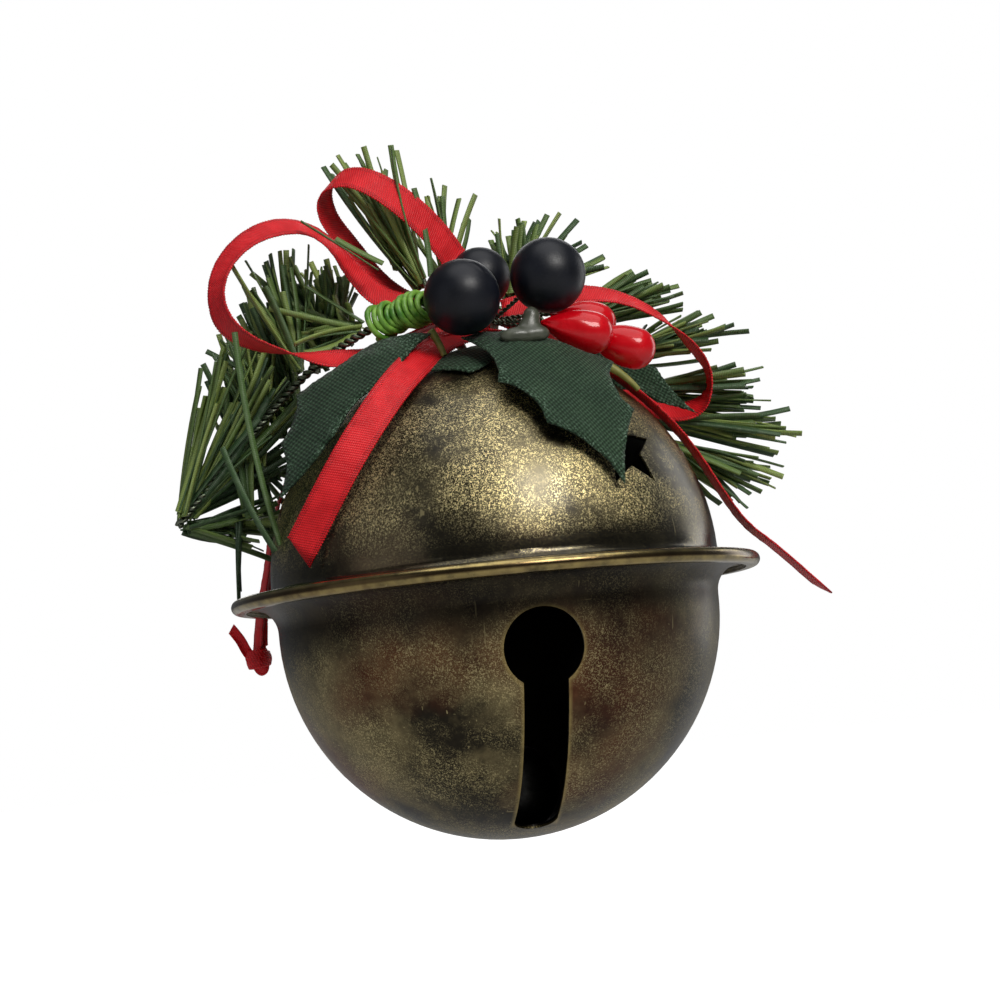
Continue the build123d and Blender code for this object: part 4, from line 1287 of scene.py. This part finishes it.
def leaf_mesh(name, leaf, chance):
    """The bent leaf as a single skin, with its cloth UV map and a rim mask."""
    edge = leaf_outline(leaf["outline"], chance)
    xs, zs = zip(*edge)
    fill_points = []
    for row in range(int((max(zs) - min(zs)) / LEAF_GRID) + 1):
        for column in range(int((max(xs) - min(xs)) / LEAF_GRID) + 1):
            spot = (min(xs) + (column + 0.5 * (row % 2)) * LEAF_GRID, min(zs) + row * LEAF_GRID * 0.87)
            if inside(spot, edge) and edge_gap(spot, edge) > 0.45:
                fill_points.append(spot)
    points = [Vector(p) for p in edge + fill_points]
    ring = [(i, (i + 1) % len(edge)) for i in range(len(edge))]
    flat, _, faces, *_ = delaunay_2d_cdt(points, ring, [], 1, 1e-5)
    rib = [Vector(p) for p in bay(*leaf["rib"], 40)]
    rib_way = (rib[-1] - rib[0]).normalized()
    rib_side = Vector((-rib_way.y, rib_way.x))
    centre = Vector(leaf["centre"])
    mesh = bpy.data.meshes.new(name)
    spots, rims = [], []
    for p in flat:
        gap = edge_gap(p, edge)
        nearest = min(rib, key=lambda r: (r - p).length)
        off = (p - nearest).length
        vein = math.cos((p - rib[0]).dot(rib_way) * 0.9 + off * 0.5)
        lift = leaf["fold"] * (min(off, 6.0) / 6.0) ** 0.8 - 0.35 * leaf["fold"]
        lift += 0.10 * vein * min(1.0, off / 2.0)
        lift += 0.35 * math.exp(-gap / 0.8) * math.sin(p.x * 1.1 + p.y * 0.7) * leaf["fold"]
        reach = leaf["radius"] + lift
        depth = math.sqrt(max(reach**2 - (p.x - centre.x) ** 2 - (p.y - centre.z) ** 2, 0.01))
        spots.append(Vector((p.x, centre.y - depth, p.y)) * MM)
        rims.append(math.exp(-gap / 0.7))
    mesh.from_pydata(spots, [], faces)
    mesh.attributes.new("rim", "FLOAT", "POINT").data.foreach_set("value", rims)
    layer = mesh.uv_layers.new(name="cloth")
    for loop in mesh.loops:
        p = flat[loop.vertex_index]
        layer.data[loop.index].uv = (p.dot(rib_side) * MM, p.dot(rib_way) * MM)
    mesh.shade_smooth()
    return mesh, outline_area(edge)


def thickened(name, mesh, thickness):
    """A closed sheet: the skin given a thickness, facing outwards."""
    holder = hold(name, mesh)
    solid = holder.modifiers.new("thickness", "SOLIDIFY")
    solid.thickness = thickness
    solid.offset = 0.0
    build = bmesh.new()
    build.from_mesh(baked(holder))
    return closed_mesh(name, build)


# %% Cut and lay the leaves
def cut_size(mesh, stretch):
    """Width and length of the flat leaf, across and along its midrib."""
    uvs = [loop.uv for loop in mesh.uv_layers["cloth"].data]
    return [max(0.01, stretch * (max(uv[k] for uv in uvs) - min(uv[k] for uv in uvs))) for k in (0, 1)]


leaf_chance = random.Random(7)
for name, leaf in HOLLY_LEAVES.items():
    mesh, area = leaf_mesh(name + "_cloth", leaf, leaf_chance)
    cloth = thickened(name + "_cloth", mesh, CLOTH_THICKNESS)
    piece = place_piece(name + "_cloth", cloth, HOLLY_CLOTH, "holly_cloth", name)
    cloth_area = sum(f.area for f in piece.data.polygons) / 2
    width, length = cut_size(mesh, math.sqrt(cloth_area / (area * MM * MM)))
    size_mm = (round(width / MM, 1), round(length / MM, 1))
    print(name, "cut", size_mm, "mm, area", round(cloth_area * 1e6), "mm2")

# %% [markdown]
# ## Berries
# The dark berries are matt balls, and the front one has a small crease left by
# its mould. The red ones are teardrops dipped in lacquer, which ran
# and wrinkled towards the stalk. Both start as rings of points pushed in and
# out by a rule, because a perfect ball would look like a bead.

# %% Berry finishes
def make_navy():
    finish, tree, shader, where = open_finish("navy_berry")
    cloud = noise(tree, where, 160.0, 3.0)
    grain = noise(tree, where, 2600.0, 3.0, 0.7)
    dark = drifting(tree, cloud, (0.0016, 0.0024, 0.0056, 1), (0.0034, 0.0046, 0.0098, 1))
    specks = times(tree, spread(tree, grain, 0.62, 0.72), 0.08)
    colour = mix_colours(tree, specks, dark, (0.09, 0.10, 0.12, 1))
    rough = spread(tree, grain, 0.3, 0.7, 0.36, 0.46)
    dress(tree, shader, colour, rough, grain, 0.25, 0.00004, Specular_IOR_Level=0.34)
    return finish


def make_lacquer():
    finish, tree, shader, where = open_finish("red_lacquer")
    cloud = noise(tree, where, 240.0, 4.0, 0.6)
    body = drifting(tree, cloud, (0.50, 0.001, 0.006, 1), (0.62, 0.003, 0.010, 1), 0.68)
    pale = times(tree, spread(tree, noise(tree, where, 1500.0), 0.60, 0.74), 0.05)
    colour = mix_colours(tree, pale, body, (0.80, 0.10, 0.13, 1))
    rough = spread(tree, cloud, 0.3, 0.7, 0.20, 0.32)
    dress(
        tree, shader, colour, rough, cloud, 0.25, 0.00006,
        Coat_Weight=0.45, Coat_Roughness=0.04, Specular_IOR_Level=0.18,
    )
    return finish


NAVY_BERRY = make_navy()
RED_LACQUER = make_lacquer()
print("finishes", NAVY_BERRY.name, "and", RED_LACQUER.name)

# %% Turn a profile into a berry
def skin_rings(build, rings):
    """Join each ring of corners to the next with smooth faces."""
    for a, b in zip(rings, rings[1:]):
        for k in range(len(a)):
            n = (k + 1) % len(a)
            build.faces.new((a[k], b[k], b[n], a[n])).smooth = True


def turned_berry(name, root, axis, profile, around, push):
    """Rings round an axis. profile gives (distance, radius) and push the change of radius."""
    axis = axis.normalized()
    side = axis.orthogonal().normalized()
    other = axis.cross(side)
    build = bmesh.new()
    rings = []
    for distance, radius in profile[1:-1]:
        ring = []
        for k in range(around):
            angle = 2 * math.pi * k / around
            way = side * math.cos(angle) + other * math.sin(angle)
            ring.append(build.verts.new(root + axis * distance + way * (radius + push(distance, angle))))
        rings.append(ring)
    skin_rings(build, rings)
    for ring, distance in ((rings[0], profile[0][0]), (rings[-1], profile[-1][0])):
        pole = build.verts.new(root + axis * distance)
        for k in range(around):
            build.faces.new((ring[k], ring[(k + 1) % around], pole)).smooth = True
    return closed_mesh(name, build)


def ball_profile(radius, rings=46):
    """A ball seen from its stalk end, with a slight dimple there."""
    profile = []
    for k in range(rings + 1):
        angle = math.pi * k / rings
        distance = radius * (1 - math.cos(angle))
        dimple = 0.09 * radius * math.exp(-((math.sin(angle) / 0.22) ** 2)) * (angle < 1.2)
        profile.append((distance + dimple, radius * math.sin(angle)))
    return profile


KNOT_MIDDLE = Vector((-0.5, -4.4, -1.2))
DARK_BERRIES = {
    "dark_berry_left": (Vector((-4.8, -20.5, 1.6)), 7.0),
    "dark_berry_right": (Vector((12.0, -18.3, 5.2)), 7.0),
    "dark_berry_middle": (Vector((1.4, -6.6, 7.9)), 5.8),
}
CREASE_WAY = Vector((0.40, -0.66, 0.62)).normalized()
CREASE_LINE = (camera_right * 0.62 - camera_up * 0.78).normalized()


def crease(mesh, centre, radius):
    """Raise a short fold on the berry's upper right."""
    across = CREASE_WAY.cross(CREASE_LINE).normalized()
    for vertex in mesh.vertices:
        way = (vertex.co - centre).normalized()
        if way.dot(CREASE_WAY) < 0.5:
            continue
        off = way.dot(across) * radius / 0.00030
        run = (way - CREASE_WAY).dot(CREASE_LINE) * radius / 0.0019
        fold = 0.00022 * math.exp(-off * off) - 0.00016 * math.exp(-((off - 1.6) ** 2))
        vertex.co += way * fold * math.exp(-(run**4))


for name, (centre, radius) in DARK_BERRIES.items():
    axis = (centre - KNOT_MIDDLE).normalized()
    root = (centre - axis * radius) * MM
    mesh = turned_berry(
        name + "_ball", root, axis, [(d * MM, r * MM) for d, r in ball_profile(radius)], 96,
        lambda distance, angle: 0.00003 * math.sin(3 * angle + distance * 500),
    )
    if name == "dark_berry_left":
        crease(mesh, centre * MM, radius * MM)
    place_piece(name + "_ball", mesh, NAVY_BERRY, "navy_berry", name)
print(len(DARK_BERRIES), "dark berries")

# %% Red teardrops
RED_BERRY_R = 4.0
RED_BERRIES = {
    "red_berry_front": (Vector((9.6, -19.0, -3.6)), Vector((22.9, -18.6, -7.2))),
    "red_berry_outer": (Vector((18.6, -13.6, -5.6)), Vector((31.6, -15.2, -10.2))),
    "red_berry_back": (Vector((13.6, -9.4, -0.2)), Vector((26.2, -8.4, -3.6))),
}


def teardrop_profile(length, rings=44):
    """Distance and radius from the stalk's point to the round end."""
    ball = length - RED_BERRY_R
    profile = []
    for k in range(rings + 1):
        share = k / rings
        distance = length * (1 - math.cos(math.pi * share)) / 2
        if distance > ball:
            radius = math.sqrt(max(RED_BERRY_R**2 - (distance - ball) ** 2, 0.0))
        else:
            radius = RED_BERRY_R * math.sin(0.5 * math.pi * (distance / ball) ** 0.85)
        profile.append((distance * MM, radius * MM))
    return profile


for index, (name, (root, end)) in enumerate(RED_BERRIES.items()):
    length = (end - root).length

    def wrinkles(distance, angle, turn=index, whole=length * MM):
        near_stalk = max(0.0, 1 - distance / (0.62 * whole))
        folds = 0.00010 * near_stalk * math.sin(7 * angle + turn)
        return folds + 0.00004 * math.sin(2 * angle + distance * 900)

    mesh = turned_berry(name + "_drop", root * MM, end - root, teardrop_profile(length), 72, wrinkles)
    place_piece(name + "_drop", mesh, RED_LACQUER, "red_lacquer", name)
print(len(RED_BERRIES), "red berries")

# %% [markdown]
# ## Berry wires and leaf stalks
# Each berry sits on a thin wire that comes out of the bow's knot, and two of
# the leaves have a moulded olive stalk. They follow short bent lines. The same
# winding tree makes the wires as twisted pairs. A stalk tapers, which the tree
# doesn't do, so it is swept by hand as one thick rod.

# %% Wires and stalks
def round_rod(name, line, radius, taper=1.0, around=10):
    """A round rod along a line, narrowed towards its end."""
    build = bmesh.new()
    rings = []
    side = tangents(line)[0].orthogonal().normalized()
    for index, (spot, along) in enumerate(zip(line, tangents(line))):
        side = square_to(along, side)
        other = along.cross(side)
        size = radius * (1 + (taper - 1) * index / (len(line) - 1))
        rings.append([
            build.verts.new(spot + (side * math.cos(a) + other * math.sin(a)) * size)
            for a in (2 * math.pi * k / around for k in range(around))
        ])
    skin_rings(build, rings)
    build.faces.new(rings[0])
    build.faces.new(rings[-1])
    return closed_mesh(name, build)


def bent(start, end, sag):
    return line_of([start, (start + end) / 2 + Vector(sag), end], 10)


DARK_STARTS = {
    "dark_berry_left": Vector((-2.4, -2.6, 0.4)), "dark_berry_right": Vector((3.4, -2.0, 0.8)),
    "dark_berry_middle": Vector((1.2, -0.4, 2.7)),
}
dark_wires = []
for name, start in DARK_STARTS.items():
    centre, radius = DARK_BERRIES[name]
    inside_berry = centre - (centre - KNOT_MIDDLE).normalized() * (radius - 0.8)
    dark_wires.append(bent(KNOT_MIDDLE + start, inside_berry, (0, 0, -0.4)))
RED_STARTS = {
    "red_berry_front": Vector((1.4, -3.0, 0.6)), "red_berry_outer": Vector((3.8, -2.2, 0.2)),
    "red_berry_back": Vector((4.2, 0.4, 1.2)),
}
red_wires = []
for name, start in RED_STARTS.items():
    root, end = RED_BERRIES[name]
    red_wires.append(bent(KNOT_MIDDLE + start, root + (end - root).normalized() * 0.8, (0, 0, 0.5)))
twisted_pair("dark_berry_wires", dark_wires, *BERRY_WIRE_TWIST)
twisted_pair("red_berry_wires", red_wires, *BERRY_WIRE_TWIST)

STALKS = [
    ((-10.2, -14.9, -3.2), (-8.3, -15.9, -8.1), (0.3, -0.3, 0.0), 0.00078, 0.75),
    ((22.6, -15.7, -12.2), (27.6, -15.7, -16.9), (0.3, -0.3, 0.4), 0.00085, 0.6),
]
stalks = []
for start, end, sag, radius, taper in STALKS:
    stalks.append(round_rod("stalk", bent(Vector(start), Vector(end), sag), radius, taper))
place_piece("leaf_stalks", merged("leaf_stalks", *stalks), OLIVE_PLASTIC, "olive_plastic", "leaf_stems")
print("wires to", len(dark_wires) + len(red_wires), "berries, and", len(stalks), "stalks")

# %% [markdown]
# ## Drop of hot glue
# A drop of hot-melt glue holds the berries. It is milky and translucent, and
# it set as a smooth blob. A few balls are joined by a voxel remesh and then
# relaxed, which rounds the creases between them as surface tension does.

# %% Glue finish and blob
HOT_GLUE = make_mottled(
    "hot_glue", (0.065, 0.072, 0.050, 1), (0.120, 0.130, 0.095, 1), 300.0, (0.28, 0.42), 0.3, 0.0001,
    detail=(3.0, 0.5), Transmission_Weight=0.35, IOR=1.45, Coat_Weight=0.08, Coat_Roughness=0.12,
)
GLUE_VOXEL = 0.0003
# The middle and the three half sizes of each lump, in millimetres.
GLUE_LUMPS = [
    ((4.6, -21.9, -6.4), (3.7, 1.7, 1.7)), ((8.2, -21.7, -6.2), (2.6, 1.6, 1.6)),
    ((7.0, -21.2, -4.6), (2.2, 1.4, 1.9)), ((7.6, -21.0, -2.8), (1.8, 1.3, 2.0)),
]
build = bmesh.new()
for middle, radii in GLUE_LUMPS:
    place = Matrix.Translation(Vector(middle) * MM) @ Matrix.Diagonal((*(r * MM for r in radii), 1.0))
    bmesh.ops.create_icosphere(build, subdivisions=3, radius=1.0, matrix=place)
glue_holder = hold("glue", closed_mesh("glue", build, outwards=False))
remesh = glue_holder.modifiers.new("join", "REMESH")
remesh.mode = "VOXEL"
remesh.voxel_size = GLUE_VOXEL
relax = glue_holder.modifiers.new("relax", "SMOOTH")
relax.factor = 0.6
relax.iterations = 30
glue_mesh = baked(glue_holder)
glue_mesh.shade_smooth()
place_piece("glue_drop", glue_mesh, HOT_GLUE, "hot_glue", "glue_blob")
print("glue drop", len(glue_mesh.polygons), "faces")

# %% [markdown]
# ## Floor, light and air
# A pale floor and soft lamps are all the studio there is. A wide soft sun gives
# an even light from above, a window in front gives the broad shine on the dome,
# and three weak lamps draw the sides and the back. Dark brass needs dim
# surroundings to reflect, but the picture has a white ground. The Light Path
# node gives both: only the camera sees the floor and the world as white.

# %% Floor
FLOOR_LEVEL = -0.16
floor_build = bmesh.new()
floor_place = Matrix.Translation((0, 0, FLOOR_LEVEL))
bmesh.ops.create_grid(floor_build, x_segments=1, y_segments=1, size=3.0, matrix=floor_place)
floor_finish, floor_tree, floor_shader, floor_where = open_finish("pale_floor")
floor_cloud = spread(floor_tree, noise(floor_tree, floor_where, 6.0), 0.3, 0.7)
floor_colour = mix_colours(floor_tree, floor_cloud, (0.46, 0.46, 0.46, 1), (0.50, 0.50, 0.50, 1))
floor_seen = times(floor_tree, out(add(floor_tree, "ShaderNodeLightPath"), "Is Camera Ray"), 0.94)
floor_tree.links.new(floor_colour, floor_shader.inputs["Base Color"])
floor_tree.links.new(floor_seen, floor_shader.inputs["Emission Strength"])
fill(floor_shader, Roughness=0.9, Emission_Color=(1, 1, 1, 1))
floor = show("floor", closed_mesh("floor", floor_build, outwards=False), floor_finish)

# %% Lamps and world
def lamp(name, kind, spot, way, power, tint=(1, 1, 1)):
    """A lamp of the given kind, turned to shine along a way."""
    data = bpy.data.lights.new(name, kind)
    data.energy = power
    data.color = tint
    turn = Vector(way).to_track_quat("-Z", "Y").to_matrix().to_4x4()
    hold(name, data).matrix_world = Matrix.Translation(spot) @ turn
    return data


# Place, the point it shines at, width and height, power, tint.
PANELS = {
    "window": ((0.20, -0.56, 0.36), (0, 0, -0.03), (0.30, 0.24), 3.4, (1.0, 0.98, 0.94)),
    "left_fill": ((-0.60, -0.30, 0.10), (0, 0, -0.05), (0.5, 0.5), 0.25, (0.95, 0.98, 1.0)),
    "right_rim": ((0.60, 0.30, 0.0), (0, 0, -0.05), (0.25, 0.6), 0.8, (1, 1, 1)),
    "back_fill": ((0.15, 0.75, 0.35), (0, 0, -0.03), (0.6, 0.5), 1.6, (1, 1, 1)),
}
lamp("sky_light", "SUN", (0, 0, 0), (-0.10, 0.25, -1.0), 1.15).angle = math.radians(60.0)
for name, (spot, aim, size, power, tint) in PANELS.items():
    panel = lamp(name, "AREA", spot, Vector(aim) - Vector(spot), power, tint)
    panel.shape = "RECTANGLE"
    panel.size, panel.size_y = size
print("a sun and", len(PANELS), "panels")

# %% A world that is dim, but white to the camera
world = bpy.data.worlds.new("studio")
world.use_nodes = True
bpy.context.scene.world = world
world_nodes = world.node_tree
seen = world_nodes.nodes["Background"]
seen.inputs["Color"].default_value = (1, 1, 1, 1)
seen.inputs["Strength"].default_value = 1.0
around = add(world_nodes, "ShaderNodeBackground", None, {"Color": (0.84, 0.87, 0.90, 1), "Strength": 0.12})
rays = add(world_nodes, "ShaderNodeLightPath")
pick = add(world_nodes, "ShaderNodeMixShader", None, {
    0: out(rays, "Is Camera Ray"), 1: out(around), 2: out(seen),
})
world_nodes.links.new(out(pick), world_nodes.nodes["World Output"].inputs["Surface"])
bpy.context.scene.view_settings.view_transform = "Standard"
